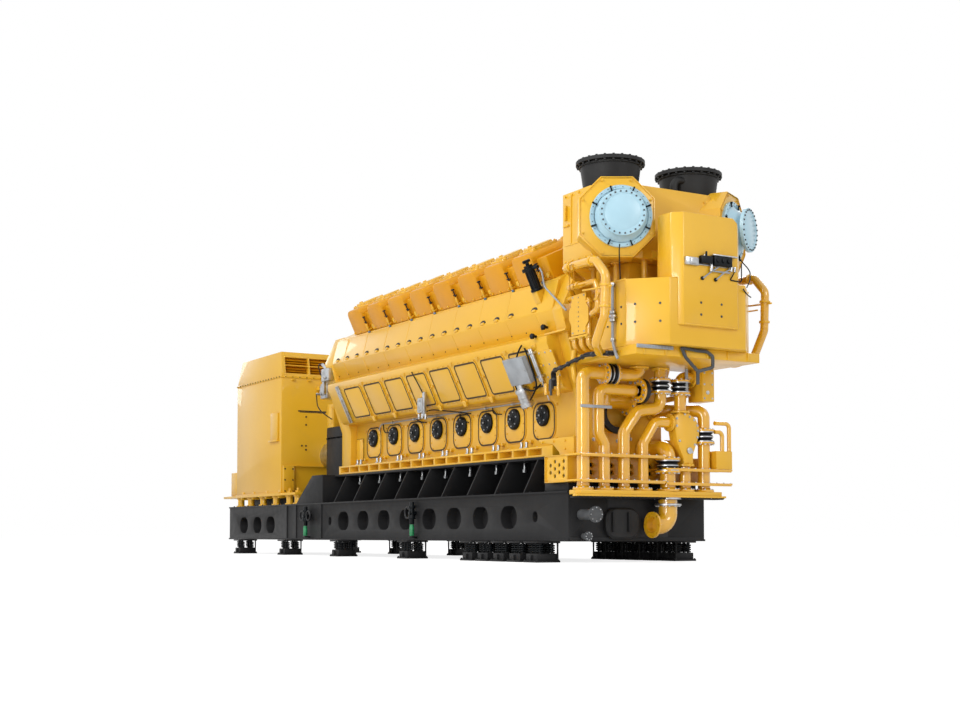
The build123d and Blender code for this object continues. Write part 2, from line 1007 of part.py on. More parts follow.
# Oil pipes with the flat casting they meet in
casting_outline = [
    (casting_left_y, 1600),
    (casting_left_y, 1760),
    (425, casting_top),
    (571, casting_top),
    (680, 1740),
    (735, 1640),
    (735, 1540),
    (640, 1300),
    (640, casting_bottom),
    (488, casting_bottom),
    (488, 1250),
    (casting_left_y + 30, 1440),
]
save(
    across(casting_outline, pipe_x - casting_half_depth, pipe_x + casting_half_depth),
    "oil_casting",
)
oil_routes = [
    (
        [(pipe_x, pipe_5_y, foot_top), (pipe_x, pipe_5_y, casting_bottom)],
        pipe_5_radius,
        0,
    ),
    (
        [
            (pipe_x, 498, casting_top),
            (pipe_x, 498, 2235),
            (pipe_x, oil_box_y[0], 2235),
        ],
        pipe_5_radius,
        90,
    ),
    (
        [
            (pipe_x, pipe_6_y, foot_top),
            (pipe_x, pipe_6_y, 1840),
            (end_housing_x + 270, 660, 1850),
            (end_housing_x + 270, 440, 1850),
            (end_housing_x, 440, 1850),
        ],
        pipe_6_radius,
        90,
    ),
]
save(
    Compound(children=[pipe(route, radius, bend) for route, radius, bend in oil_routes]),
    "oil_pipes",
)
save(
    block((pipe_x - 100, pipe_x + 180), oil_box_y, (oil_box_bottom, manifold_bottom)),
    "oil_box",
)

# Drain pipe down to the foot plate, and the elbow below the shelf
drain_upper = pipe(
    [
        (end_housing_x, drain_y, 1375),
        (pipe_x, drain_y, 1375),
        (pipe_x, drain_y, foot_top),
    ],
    95,
    130,
)
save(drain_upper, "drain_pipe")
mouth = Plane(origin=(pipe_x, mouth_y, mouth_z), x_dir=(1, 0, 0), z_dir=(0, -1, 0))
with BuildPart() as elbow:
    add(pipe(
        [
            (pipe_x, drain_y, foot_z - shelf_thickness),
            (pipe_x, drain_y, mouth_z),
            (pipe_x, mouth_y, mouth_z),
        ],
        drain_radius,
        140,
    ))
    add(sleeve((pipe_x, drain_y, 690), (0, 0, 1), drain_radius - 20, 60, 24))
    add(sleeve((pipe_x, drain_y, 764), (0, 0, 1), drain_radius - 20, 60, 24))
    with BuildSketch(mouth):
        Circle(mouth_rim_radius)
    extrude(amount=-mouth_rim)
    with BuildSketch(mouth):
        Circle(mouth_bore_radius)
    extrude(amount=-mouth_depth, mode=Mode.SUBTRACT)
    with BuildSketch(mouth):
        with PolarLocations(mouth_pcd / 2, mouth_bolts):
            Circle(mouth_bolt_radius)
    extrude(amount=-mouth_rim, mode=Mode.SUBTRACT)
save(elbow.part, "drain_elbow")

# Bellows between the pipe lengths
bellows = [
    sleeve((pipe_x, -555, 2220), (0, 1, 0), pipe_1_radius, bellows_height, bellows_length),
    sleeve((pipe_x, 198, 2110), (0, 0, 1), pipe_3_radius, bellows_height, bellows_length),
    sleeve((pipe_x, 498, 2110), (0, 0, 1), pipe_5_radius, bellows_height, bellows_length),
    sleeve((pipe_x, pipe_6_y, 1525), (0, 0, 1), pipe_6_radius, bellows_height, bellows_length),
    sleeve((pipe_x, drain_y, 1160), (0, 0, 1), 95, bellows_height, bellows_length),
]
save(Compound(children=bellows), "pipe_bellows")


# Tie plates from the truss beam around the pipes
def tie_plate(y_range, z):
    with BuildPart() as piece:
        add(block((truss_front_x, tie_front_x), y_range, (z, z + tie_thickness)))
        with BuildSketch(Plane.XY.offset(z)):
            for y, radius in tie_holes:
                with Locations((pipe_x, y)):
                    Circle(radius + fit_gap)
        extrude(amount=tie_thickness, mode=Mode.SUBTRACT)
    return piece.part


tie_holes = [
    (pipe_1_y, pipe_1_radius),
    (pipe_2_y, pipe_2_radius),
    (pipe_3_y, pipe_3_radius),
    (pipe_4_y, pipe_4_radius),
    (drain_y, 95),
    (pipe_5_y, pipe_5_radius),
    (pipe_6_y, pipe_6_radius),
]
ties = [tie_plate((-1060, 180), z) for z in left_tie_z]
ties += [tie_plate((190, right_tie_end_y), z) for z in right_tie_z]
save(Compound(children=ties), "tie_plates")

# Small box on the right tie plates, with two thin pipes bent over it
save(
    block(
        (truss_front_x + 60, tie_front_x),
        auxiliary_box_y,
        (right_tie_z[1] + tie_thickness, auxiliary_box_top),
    ),
    "auxiliary_box",
)
auxiliary_pipes = [
    pipe(
        [
            (auxiliary_x, auxiliary_from_y, z),
            (auxiliary_x, y, z),
            (auxiliary_x, y, auxiliary_box_top),
        ],
        auxiliary_radius,
        60,
    )
    for y, z in auxiliary_bends
]
save(Compound(children=auxiliary_pipes), "auxiliary_pipes")

# Pipe loops beside the cooler, the inner one back to the filter pipes
manifold_z = cooler_bottom - manifold_height / 2
outer_loop = pipe(
    [
        (end_housing_x, -690, loop_top - 80),
        (end_housing_x + 160, -690, loop_top - 80),
        (pipe_x - 10, -loop_y, loop_top),
        (cooler_rear_x + 300, -loop_y, loop_top),
        (cooler_rear_x + 490, -loop_y, loop_top - 190),
        (cooler_rear_x + 470, -loop_y, manifold_z + 375),
        (cooler_rear_x + 290, -loop_y, manifold_z + 85),
        (cooler_rear_x + 140, -manifold_half_width - 110, manifold_z),
        (cooler_rear_x + 140, -manifold_half_width, manifold_z),
    ],
    loop_radius,
    110,
)
inner_loop = pipe(
    [
        (end_housing_x, -800, inner_loop_top - 70),
        (end_housing_x + 110, -800, inner_loop_top - 70),
        (end_housing_x + 320, -inner_loop_y, inner_loop_top),
        (cooler_rear_x + 80, -inner_loop_y, inner_loop_top),
        (cooler_rear_x + 130, -inner_loop_y, inner_loop_top - 120),
        (cooler_rear_x + 130, -inner_loop_y, inner_loop_low + 40),
        (cooler_rear_x, -inner_loop_y, inner_loop_low),
        (cooler_rear_x - 80, 150 - inner_loop_y, inner_loop_low),
        (cooler_rear_x - 80, -console_half_width, inner_loop_low),
    ],
    inner_loop_radius,
    56,
)
save_both([outer_loop, inner_loop], "cooler_loops")

# Filter pipes behind their perforated bracket
filter_pipes = [
    pipe(
        [
            (x, -filter_y, filter_top),
            (x, -filter_y, filter_low_z),
            (x, -console_half_width, filter_low_z),
        ],
        filter_radius,
        95,
    )
    for x in filters_x
]
save_both(filter_pipes, "filter_pipes")
plate_y = filter_y + filter_radius
bracket_plane = Plane(
    origin=(filters_x[1], -plate_y - fit_gap, bracket_z), x_dir=(1, 0, 0), z_dir=(0, -1, 0)
)
with BuildPart() as bracket:
    with BuildSketch(bracket_plane):
        with BuildLine():
            Polyline(
                (-150, -240),
                (-150, -120),
                (-195, -40),
                (-195, 60),
                (-145, 120),
                (-145, 230),
                (145, 240),
                (145, 130),
                (200, 60),
                (200, -100),
                (145, -160),
                (145, -240),
                close=True,
            )
        make_face()
        with GridLocations(0, 56, 1, 8):
            Circle(9, mode=Mode.SUBTRACT)
    extrude(amount=bracket_thickness)
save_both([bracket.part], "filter_brackets")

# Brackets on the truss beam beside the free-end housing
bracket_foot = truss_rear_x - block_front_x
with BuildPart() as end_bracket:
    with BuildSketch(
        Plane(origin=(block_front_x, -housing_low_y, truss_top), x_dir=(1, 0, 0), z_dir=(0, -1, 0))
    ):
        with BuildLine():
            Polyline(
                (-468, 230),
                (302, 230),
                (302, 0),
                (bracket_foot, 0),
                (-18, 60),
                (-158, 160),
                (-468, 200),
                close=True,
            )
        make_face()
    extrude(amount=bracket_reach)
save_both([end_bracket.part], "end_brackets")

# Starting-air valve square to the bank, on its wedge
lean_up = Vector(0, -sin(lean), cos(lean))
lean_in = Vector(0, cos(lean), sin(lean))
valve_foot = Vector(start_x, -start_y, start_z)
inner_corner = valve_foot + lean_in * start_radius
outer_corner = valve_foot - lean_in * start_radius


def gallery_y(z):
    """Where the upper facet of the left gallery cover is at one height."""
    share = (z - gallery_fold_z) / (gallery_high_z - gallery_fold_z)
    return -gallery_fold_y + share * (gallery_fold_y - gallery_high_y)


with BuildPart() as start_valve:
    with BuildSketch(Plane(origin=valve_foot, x_dir=(1, 0, 0), z_dir=lean_up)):
        Circle(start_radius)
    extrude(amount=start_height)
    with BuildSketch(
        Plane(origin=valve_foot + lean_up * (start_height - 70), x_dir=(1, 0, 0), z_dir=lean_up)
    ):
        Circle(start_flange_radius)
    extrude(amount=34)
save(start_valve.part, "start_valve")
wedge_outline = [
    (outer_corner.Y, outer_corner.Z),
    (inner_corner.Y, inner_corner.Z),
    (gallery_y(inner_corner.Z), inner_corner.Z),
    (gallery_y(start_z - 170), start_z - 170),
]
save(across(wedge_outline, start_x - start_radius, start_x + start_radius), "start_valve_wedge")

# Round-cornered cover and two capped stubs on the end of the base frame
with BuildPart() as cover:
    with BuildSketch(Plane.YZ.offset(base_front_x)):
        with Locations((-267, 466)):
            RectangleRounded(490, 370, 150)
    extrude(amount=70)
    chamfer(cover.faces().sort_by(Axis.X)[-1].edges(), 22)
save(cover.part, "base_end_cover")
caps = []
for y, z, reach, stub_bore, rim in ((-828, 566, 308, 62, 95), (-799, 312, 114, 36, 55)):
    with BuildPart() as cap:
        with BuildSketch(Plane.YZ.offset(base_front_x)):
            with Locations((y, z)):
                Circle(stub_bore)
        extrude(amount=reach - 28)
        with BuildSketch(Plane.YZ.offset(base_front_x + reach - 28)):
            with Locations((y, z)):
                Circle(rim)
        extrude(amount=28)
    caps.append(cap.part)
save(Compound(children=caps), "base_end_caps")
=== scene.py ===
import json
from math import cos, pi, radians, sin, tau

import bmesh
import bpy
from mathutils import Matrix, Vector


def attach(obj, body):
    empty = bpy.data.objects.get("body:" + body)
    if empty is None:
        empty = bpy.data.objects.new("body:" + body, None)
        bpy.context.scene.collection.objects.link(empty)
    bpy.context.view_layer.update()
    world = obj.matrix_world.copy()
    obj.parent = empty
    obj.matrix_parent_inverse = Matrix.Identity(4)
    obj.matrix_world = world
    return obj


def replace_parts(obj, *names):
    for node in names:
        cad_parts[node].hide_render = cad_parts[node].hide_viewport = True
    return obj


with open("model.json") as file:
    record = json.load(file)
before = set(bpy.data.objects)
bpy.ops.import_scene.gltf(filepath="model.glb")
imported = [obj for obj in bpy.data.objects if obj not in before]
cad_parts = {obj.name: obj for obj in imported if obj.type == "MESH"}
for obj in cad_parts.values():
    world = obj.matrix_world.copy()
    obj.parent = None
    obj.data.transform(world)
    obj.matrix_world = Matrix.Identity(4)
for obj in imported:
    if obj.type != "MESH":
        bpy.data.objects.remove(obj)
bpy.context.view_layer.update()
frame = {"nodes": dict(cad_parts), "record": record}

print("frame loaded")


# materials
class Link:  # a socket whose arithmetic adds Math nodes
    def __init__(self, tree, socket):
        self.tree = tree
        self.socket = socket

    def maths(self, operation, first, second):
        step = self.tree.nodes.new("ShaderNodeMath")
        step.operation = operation
        for slot, value in zip(step.inputs, (first, second)):
            if isinstance(value, Link):
                self.tree.links.new(value.socket, slot)
            else:
                slot.default_value = value
        return Link(self.tree, step.outputs[0])

    def __add__(self, other):
        return self.maths("ADD", self, other)

    def __mul__(self, other):
        return self.maths("MULTIPLY", self, other)

    __radd__, __rmul__ = __add__, __mul__


class Finish:  # one material and the nodes that vary it
    def __init__(self, name, slot, **surface):
        self.slot = slot
        self.material = bpy.data.materials.new(name)
        self.material.use_nodes = True
        self.tree = self.material.node_tree
        self.shader = self.tree.nodes["Principled BSDF"]
        for socket, value in surface.items():
            self.shader.inputs[socket.replace("_", " ")].default_value = value
        self.place = self.add("ShaderNodeTexCoord", {}, {}, "Object")

    def add(self, kind, settings, values, output=0):
        made = self.tree.nodes.new(kind)
        for setting, value in settings.items():
            if setting == "stops":
                ramp = made.color_ramp.elements
                while len(ramp) < len(value):
                    ramp.new(0.5)
                for element, (position, shade) in zip(ramp, value):
                    element.position = position
                    element.color = (*shade, 1)
            else:
                setattr(made, setting, value)
        for slot, value in values.items():
            if isinstance(value, Link):
                self.tree.links.new(value.socket, made.inputs[slot])
            else:
                made.inputs[slot].default_value = value
        return Link(self.tree, made.outputs[output])

    def noise(self, scale, detail=3, stretch=None):
        place = self.place
        if stretch:
            place = self.add("ShaderNodeMapping", {}, {"Vector": place, "Scale": stretch}, "Vector")
        return self.add("ShaderNodeTexNoise", {}, {"Vector": place, "Scale": scale, "Detail": detail}, "Fac")

    def ramp(self, amount, *stops):
        return self.add("ShaderNodeValToRGB", {"stops": stops}, {"Fac": amount}, "Color")

    def blend(self, amount, first, second):
        return self.add("ShaderNodeMix", {"data_type": "RGBA"}, {0: amount, 6: first, 7: second}, 2)

    def mottle(self, scale, dark, light):
        self.feed("Base Color", self.ramp(self.noise(scale, 4), (0.3, srgb(*dark)), (0.72, srgb(*light))))

    def bump(self, scale, strength, distance):
        height = self.noise(scale, 3)
        values = {"Height": height, "Strength": strength, "Distance": distance}
        self.feed("Normal", self.add("ShaderNodeBump", {}, values, "Normal"))

    def feed(self, socket, value):
        self.tree.links.new(value.socket, self.shader.inputs[socket])


def srgb(red, green, blue):
    tones = [c / 255 for c in (red, green, blue)]
    return tuple(c / 12.92 if c < 0.04045 else ((c + 0.055) / 1.055) ** 2.4 for c in tones)


dust = (*srgb(190, 150, 84), 1)


def yellowPaint(name, light, deep, roughness, coat, gleam=0.5):
    made = Finish(name, "engine_yellow", Specular_IOR_Level=gleam, Coat_Weight=coat, Coat_Roughness=0.05)
    tone = made.ramp(made.noise(0.9, 2), (0.3, srgb(*deep)), (0.7, srgb(*light)))
    dusty = made.ramp(made.noise(3.1, 6), (0.6, (0, 0, 0)), (0.8, (1, 1, 1)))
    streaks = made.ramp(made.noise(5, 4, (1, 1, 0.12)), (0.55, (0, 0, 0)), (0.85, (1, 1, 1)))
    made.feed("Base Color", made.blend(streaks * 0.08, made.blend(dusty * 0.16, tone, dust), dust))
    made.feed("Roughness", roughness + made.noise(14, 4) * 0.08)
    made.bump(55, 0.06, 0.002)
    return made


enginePaint = yellowPaint("enginePaint", (226, 175, 40), (218, 166, 28), 0.3, 0.25)
# a darker, more saturated copy of the engine yellow: painted shade, used on the cylinder heads, head covers and
# alternator louvres
shadeDarkenedPaint = yellowPaint("shadeDarkenedPaint", (216, 150, 10), (208, 141, 6), 0.3, 0.1, 0.3)
pipePaint = yellowPaint("pipePaint", (226, 170, 30), (216, 160, 22), 0.05, 1.0, 0.6)


def paint(name, slot, scale, dark, light, gloss=None, relief=None, **surface):
    made = Finish(name, slot, **surface)
    made.mottle(scale, dark, light)
    if gloss:  # lowest roughness, then scale, detail and reach of its noise
        least, size, detail, reach = gloss
        made.feed("Roughness", least + made.noise(size, detail) * reach)
    if relief:
        made.bump(*relief)
    return made


basePaint = paint("basePaint", "base_black", 1.4, (25, 25, 26), (37, 37, 38), (0.4, 9, 4, 0.2), (60, 0.1, 0.002),
                  Specular_IOR_Level=0.2)
exhaustPaint = paint("exhaustPaint", "exhaust_black", 5, (22, 22, 23), (34, 34, 34), None, (120, 0.15, 0.001),
                     Roughness=0.55, Specular_IOR_Level=0.3)
inletPaint = paint("inletPaint", "inlet_blue", 2.2, (156, 193, 208), (174, 208, 222), (0.26, 18, 4, 0.16),
                   Coat_Weight=0.4, Coat_Roughness=0.2)
steel = paint("steel", "shaft_steel", 12, (166, 168, 170), (212, 214, 216), (0.24, 40, 3, 0.2), Metallic=1.0)
greyPaint = paint("greyPaint", "cap_grey", 6, (136, 141, 146), (160, 165, 170), (0.36, 20, 3, 0.12),
                  Coat_Weight=0.2, Coat_Roughness=0.3)
rubber = paint("rubber", "bellows_rubber", 20, (12, 12, 14), (24, 24, 28), None, (90, 0.2, 0.001),
               Roughness=0.5, Specular_IOR_Level=0.4)
valvePaint = paint("valvePaint", "valve_black", 16, (8, 12, 15), (15, 20, 24), Roughness=0.4, Specular_IOR_Level=0.2)
gasket = paint("gasket", "valve_black", 30, (52, 38, 14), (70, 50, 20), Roughness=0.7)
greenPaint = paint("greenPaint", "valve_black", 16, (24, 116, 70), (40, 148, 92), Roughness=0.35, Coat_Weight=0.2)
capPaint = paint("capPaint", "cap_grey", 9, (66, 68, 70), (84, 86, 88), Roughness=0.5, Specular_IOR_Level=0.3)
bluePlastic = paint("bluePlastic", "shaft_steel", 20, (60, 92, 118), (84, 118, 146), Roughness=0.3)
print("materials made")

plain = (enginePaint, basePaint, exhaustPaint, inletPaint, rubber, valvePaint, greyPaint, steel)
finishes = {made.slot: made for made in plain}


# making of pieces
left, right, ahead, back, up, down = (0, -1, 0), (0, 1, 0), (1, 0, 0), (-1, 0, 0), (0, 0, 1), (0, 0, -1)
pitch = 0.7  # between two cylinders


def facing(origin, across, out):  # a place whose X is across and whose Z points out
    x, z = Vector(across).normalized(), Vector(out).normalized()
    return Matrix.Translation(origin) @ Matrix((x, z.cross(x), z)).transposed().to_4x4()


def around(centre, out, radius, count, turn=0.0):
    turned = Vector(out).to_track_quat("Z", "Y")
    angles = [turn + tau * i / count for i in range(count)]
    return [Vector(centre) + turned @ Vector((radius * cos(a), radius * sin(a), 0)) for a in angles]


def oblong(width, height):
    return [(x * width / 2, y * height / 2) for x, y in ((-1, -1), (1, -1), (1, 1), (-1, 1))]


def bevelled(shape, edges, width):
    bmesh.ops.bevel(
        shape, geom=edges, offset=width, offset_type="OFFSET", segments=2,
        profile=0.5, affect="EDGES", material=-1, clamp_overlap=True,
    )


def hardEdges(edges, angle):
    return [e for e in edges if len(e.link_faces) == 2 and e.calc_face_angle(0) > radians(angle)]


def onScene(shape, name, finish):
    for edge in shape.edges:
        edge.smooth = len(edge.link_faces) == 2 and edge.calc_face_angle(0) < radians(38)
    for face in shape.faces:
        face.smooth = True
    mesh = bpy.data.meshes.new(name)
    shape.to_mesh(mesh)
    shape.free()
    piece = bpy.data.objects.new(name, mesh)
    bpy.context.scene.collection.objects.link(piece)
    mesh.materials.append(finish.material)
    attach(piece, "root")
    return piece


class Shape:  # one piece in the making
    def __init__(self):
        self.mesh = bmesh.new()

    def box(self, low, high, edge=0.0, at=Matrix()):
        low, high = Vector(low), Vector(high)
        grown = at @ Matrix.Translation((low + high) / 2) @ Matrix.Diagonal((*(high - low), 1))
        made = bmesh.ops.create_cube(self.mesh, size=1, matrix=grown)["verts"]
        if edge:
            bevelled(self.mesh, list({e for v in made for e in v.link_edges}), edge)

    def boxes(self, rows):
        for row in rows:
            self.box(*row)

    def bar(self, start, end, radius, sides=12, edge=0.0, tip=None):
        start, end = Vector(start), Vector(end)
        along = end - start
        at = Matrix.Translation((start + end) / 2) @ along.to_track_quat("Z", "Y").to_matrix().to_4x4()
        made = bmesh.ops.create_cone(
            self.mesh, cap_ends=True, segments=sides, radius1=radius,
            radius2=radius if tip is None else tip, depth=along.length, matrix=at,
        )["verts"]
        if edge:
            bevelled(self.mesh, hardEdges({e for v in made for e in v.link_edges}, 40), edge)

    def bars(self, rows):
        for row in rows:
            self.bar(*row)

    def post(self, x, y, low, high, *size):
        self.bar((x, y, low), (x, y, high), *size)

    def bolt(self, foot, out, radius, washer=True):
        foot, out = Vector(foot), Vector(out).normalized()
        if washer:
            self.bar(foot, foot + out * radius * 0.25, radius * 1.45, 10)
        self.bar(foot, foot + out * radius * 1.1, radius, 6, 0, radius * 0.9)

    def bolts(self, feet, out, radius, washer=True):
        for foot in feet:
            self.bolt(foot, out, radius, washer)

    def turned(self, profile, foot, out, steps=32):
        part = bmesh.new()
        verts = [part.verts.new((radius, 0, height)) for radius, height in profile]
        edges = [part.edges.new(pair) for pair in zip(verts, verts[1:])]
        bmesh.ops.spin(
            part, geom=verts + edges, cent=(0, 0, 0), axis=(0, 0, 1), angle=tau, steps=steps, use_merge=True
        )
        bmesh.ops.remove_doubles(part, verts=part.verts, dist=0.00001)
        bmesh.ops.recalc_face_normals(part, faces=part.faces)
        turn = Vector(out).to_track_quat("Z", "Y").to_matrix().to_4x4()
        self.stamp(part, Matrix.Translation(foot) @ turn)
        part.free()

    def slab(self, outline, depth, at, corner=0.0, edge=0.0, hollow=0.0):
        part = bmesh.new()
        face = part.faces.new([part.verts.new((x, y, 0)) for x, y in outline])
        if corner:
            bmesh.ops.bevel(
                part, geom=part.verts[:], offset=corner, offset_type="OFFSET", segments=5,
                profile=0.5, affect="VERTICES", material=-1, clamp_overlap=True,
            )
        if hollow:
            bmesh.ops.inset_region(part, faces=part.faces[:], thickness=hollow, use_boundary=True, use_even_offset=True)
            inner = max(part.faces, key=lambda f: len(f.verts))
            bmesh.ops.delete(part, geom=[inner], context="FACES")
        grown = bmesh.ops.extrude_face_region(part, geom=part.faces[:])["geom"]
        risen = [v for v in grown if isinstance(v, bmesh.types.BMVert)]
        bmesh.ops.translate(part, vec=(0, 0, depth), verts=risen)
        bmesh.ops.recalc_face_normals(part, faces=part.faces)
        if edge:
            top = [e for e in hardEdges(part.edges, 60) if all(v.co.z > depth * 0.9 for v in e.verts)]
            bevelled(part, top, edge)
        self.stamp(part, at)
        part.free()

    def stamp(self, part, at):
        mesh = bpy.data.meshes.new("stamp")
        part.to_mesh(mesh)
        mesh.transform(at)
        self.mesh.from_mesh(mesh)
        bpy.data.meshes.remove(mesh)

    def mirrored(self):
        geom = self.mesh.verts[:] + self.mesh.edges[:] + self.mesh.faces[:]
        made = bmesh.ops.duplicate(self.mesh, geom=geom)["geom"]
        bmesh.ops.scale(self.mesh, vec=(1, -1, 1), verts=[v for v in made if isinstance(v, bmesh.types.BMVert)])
        bmesh.ops.reverse_faces(self.mesh, faces=[f for f in made if isinstance(f, bmesh.types.BMFace)])
        return self

    def done(self, name, finish=enginePaint, slot=None):
        return onScene(self.mesh, name, finish)


def shapes(count):
    return [Shape() for _ in range(count)]


def tubing(name, finish, radius, routes, bend=0.05):
    curve = bpy.data.curves.new(name, "CURVE")
    curve.dimensions = "3D"
    curve.bevel_depth = radius
    curve.bevel_resolution = 2
    curve.resolution_u = 5
    curve.use_fill_caps = True
    for route in routes:
        points = [Vector(p) for p in route]
        knots = [(points[0], points[0], points[0])]
        for before, corner, after in zip(points, points[1:], points[2:]):
            reach = min(bend, (corner - before).length * 0.49, (after - corner).length * 0.49)
            start = corner + (before - corner).normalized() * reach
            end = corner + (after - corner).normalized() * reach
            knots += [(start, start, start.lerp(corner, 0.56)), (end, end.lerp(corner, 0.56), end)]
        knots.append((points[-1], points[-1], points[-1]))
        spline = curve.splines.new("BEZIER")
        spline.bezier_points.add(len(knots) - 1)
        for point, (place, left, right) in zip(spline.bezier_points, knots):
            point.co, point.handle_left, point.handle_right = place, left, right
    piece = bpy.data.objects.new(name, curve)
    bpy.context.scene.collection.objects.link(piece)
    curve.materials.append(finish.material)
    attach(piece, "root")
    return piece


def bothSides(routes):
    return routes + [[(x, -y, z) for x, y, z in route] for route in routes]


# CAD nodes with rounded edges and their finishes
def dressed(name, slot, edge):
    shape = bmesh.new()
    shape.from_mesh(frame["nodes"][name].data)
    bmesh.ops.remove_doubles(shape, verts=shape.verts, dist=0.00002)
    if edge:
        bmesh.ops.dissolve_limit(
            shape, angle_limit=radians(1), verts=shape.verts, edges=shape.edges, delimit={"NORMAL"}
        )
        bevelled(shape, hardEdges(shape.edges, 28), edge)
    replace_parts(onScene(shape, name + ".shown", ownFinish.get(name, finishes[slot])), name)


edges = {
    0.003: ("tie_plates",),
    0.004: ("crankcase_doors", "alternator_rails", "bed_gussets", "base_beam_left", "base_beam_right", "truss_beam"),
    0.005: ("engine_bed", "base_step", "pipe_foot_plate", "end_brackets"),
    0.006: ("cooler_manifold", "cam_covers", "alternator_hood", "foot_rails"),
    0.007: ("alternator_housing",),
    0.008: ("alternator_end_box", "start_valve_wedge", "auxiliary_box"),
    0.01: ("crankcase", "gallery_covers", "cylinder_heads", "flywheel_housing", "free_end_housing", "console", "oil_box"),
    0.012: ("turbo_hood", "cooler_casing", "cooler_upper_box"),
    0.015: ("coupling_guard", "exhaust_lagging"),
    0.016: ("oil_casting",),
}
edgeOf = {name: edge for edge, names in edges.items() for name in names}
# the cylinder heads take the darkened copy of the engine yellow: painted shade
ownFinish = {
    "cylinder_heads": shadeDarkenedPaint, "base_end_caps": capPaint, "base_end_cover": exhaustPaint, "base_cross_members": rubber,
}
for name in ("water_pipes", "cooler_loops", "filter_pipes", "oil_pipes", "drain_pipe", "drain_elbow", "auxiliary_pipes"):
    ownFinish[name] = pipePaint
replaced = {"spring_isolators_left", "spring_isolators_right", "pipe_bellows", "pipe_shelf", "head_covers"}
slotOf = {entry["node"]: entry["material_slot"] for entry in frame["record"]["subparts"]}
for name in sorted(frame["nodes"]):
    if name not in replaced:
        dressed(name, slotOf[name], edgeOf.get(name, 0))
print("nodes dressed")

# spring isolators, each with six coil springs
isolator = {
    "stations": (-5.291, -3.219, -1.094, 1.193, 2.989, 3.3755, 3.762, 4.1485, 4.535),
    "y": 1.03, "length": 0.3, "width": 0.336, "plate": 0.022, "housing": 0.105, "height": 0.251,
    "coil": 0.034, "wire": 0.0085, "turns": 4, "pitchX": 0.088, "pitchY": 0.168,
}
plate, housing, wire = isolator["plate"], isolator["housing"], isolator["wire"]
topPlate = isolator["height"] - plate
spring = bmesh.new()
ringPlace = Matrix.Translation((isolator["coil"], 0, wire)) @ Matrix.Rotation(pi / 2, 4, "X")
bmesh.ops.create_circle(spring, segments=6, radius=wire, matrix=ringPlace)
coilSteps = isolator["turns"] * 10
rise = (topPlate - housing - 2 * wire) / coilSteps
bmesh.ops.spin(
    spring, geom=spring.verts[:] + spring.edges[:], cent=(0, 0, 0), axis=(0, 0, 1),
    dvec=(0, 0, rise), angle=tau * isolator["turns"], steps=coilSteps, use_merge=False,
)
bmesh.ops.holes_fill(spring, edges=[e for e in spring.edges if e.is_boundary])
bmesh.ops.recalc_face_normals(spring, faces=spring.faces)
for side, sideName in ((-1, "left"), (1, "right")):
    mounts, coils = shapes(2)
    for x in isolator["stations"]:
        y, halfWidth = side * isolator["y"], isolator["width"] / 2
        for low, high, shrink in ((0, plate, 0), (plate, housing, 0.025), (topPlate, isolator["height"], 0)):
            u, v = isolator["length"] / 2 - shrink, halfWidth - shrink
            mounts.box((x - u, y - v, low), (x + u, y + v, high), 0.004)
        mounts.box((x - 0.012, y - halfWidth, plate), (x + 0.012, y + halfWidth, 0.09), 0.002)
        for u in (-1, 0, 1):
            for v in (-0.5, 0.5):
                foot = (x + u * isolator["pitchX"], y + v * isolator["pitchY"], housing)
                coils.stamp(spring, Matrix.Translation(foot))
                mounts.post(*foot, topPlate, 0.016, 8)
        for u in (-1, 1):
            mounts.bolts([(x + u * 0.134, y + v, plate) for v in (-0.152, 0.152)], up, 0.012)
            mounts.post(x + u * 0.13, y - side * 0.14, plate, 0.229, 0.012, 8)
    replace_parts(mounts.done("isolatorMounts." + sideName, basePaint), "spring_isolators_" + sideName)
    coils.done("isolatorSprings." + sideName, valvePaint)
spring.free()
print("isolators made")

# base frame fittings
base = {"top": 0.844, "cover": 5.145, "valves": (-2.49, 1.25), "handles": (-2.61, -2.35, 1.14)}
fittings, cocks = shapes(2)
for x in base["valves"]:
    fittings.bar((x, -1.01, 0.63), (x, -1.115, 0.63), 0.03, 12, 0.004)
    for low, high, radius, sides in ((0.48, 0.79, 0.034, 12), (0.55, 0.6, 0.05, 10), (0.7, 0.74, 0.05, 10)):
        fittings.post(x, -1.07, low, high, radius, sides, 0.004)
    fittings.box((x - 0.05, -1.095, 0.29), (x + 0.05, -1.01, 0.31), 0.003)
    cocks.turned([(0, 0), (0.03, 0), (0.034, 0.01), (0.034, 0.12), (0.03, 0.13), (0.03, 0.16), (0, 0.16)],
                 (x, -1.07, 0.315), up, 16)
rings = [around((x, -1.08, 0.64), right, 0.075, 24) for x in base["handles"]]
tubing("baseHandles", rubber, 0.016, [ring + ring[:1] for ring in rings], 0.001)
fittings.done("baseFittings", valvePaint)
cocks.done("baseCocks", greenPaint)
baseDetail = Shape()
baseDetail.bolts([(-1.39 + i * pitch, -0.985, base["top"]) for i in range(9)], up, 0.014)
baseDetail.bolts([(x, -1.017, base["top"]) for x in (-5.9, -5.2, -4.5, -3.75, 0.05, 2.15, 4.6)], up, 0.012)
baseDetail.mirrored()
for y in (-0.43, -0.2):  # grips of the end cover
    baseDetail.box((base["cover"] - 0.004, y - 0.012, 0.36), (base["cover"] + 0.03, y + 0.012, 0.6), 0.008)
oval = [tau * (i + 0.5) / 12 for i in range(12)]
baseDetail.bolts([(base["cover"] - 0.022, -0.267 + 0.22795 * cos(a), 0.466 + 0.172 * sin(a)) for a in oval], ahead, 0.009)
baseDetail.box((5.0749, -1.0, 0.255), (5.085, 1.0, 0.3), 0.003)
baseDetail.done("baseDetail", basePaint)
capBolts = Shape()
for centre, radius in (((5.383, -0.828, 0.566), 0.078), ((5.189, -0.799, 0.312), 0.043)):
    capBolts.bolts(around(centre, ahead, radius, 8), ahead, 0.008, False)
capBolts.done("baseCapBolts", steel)

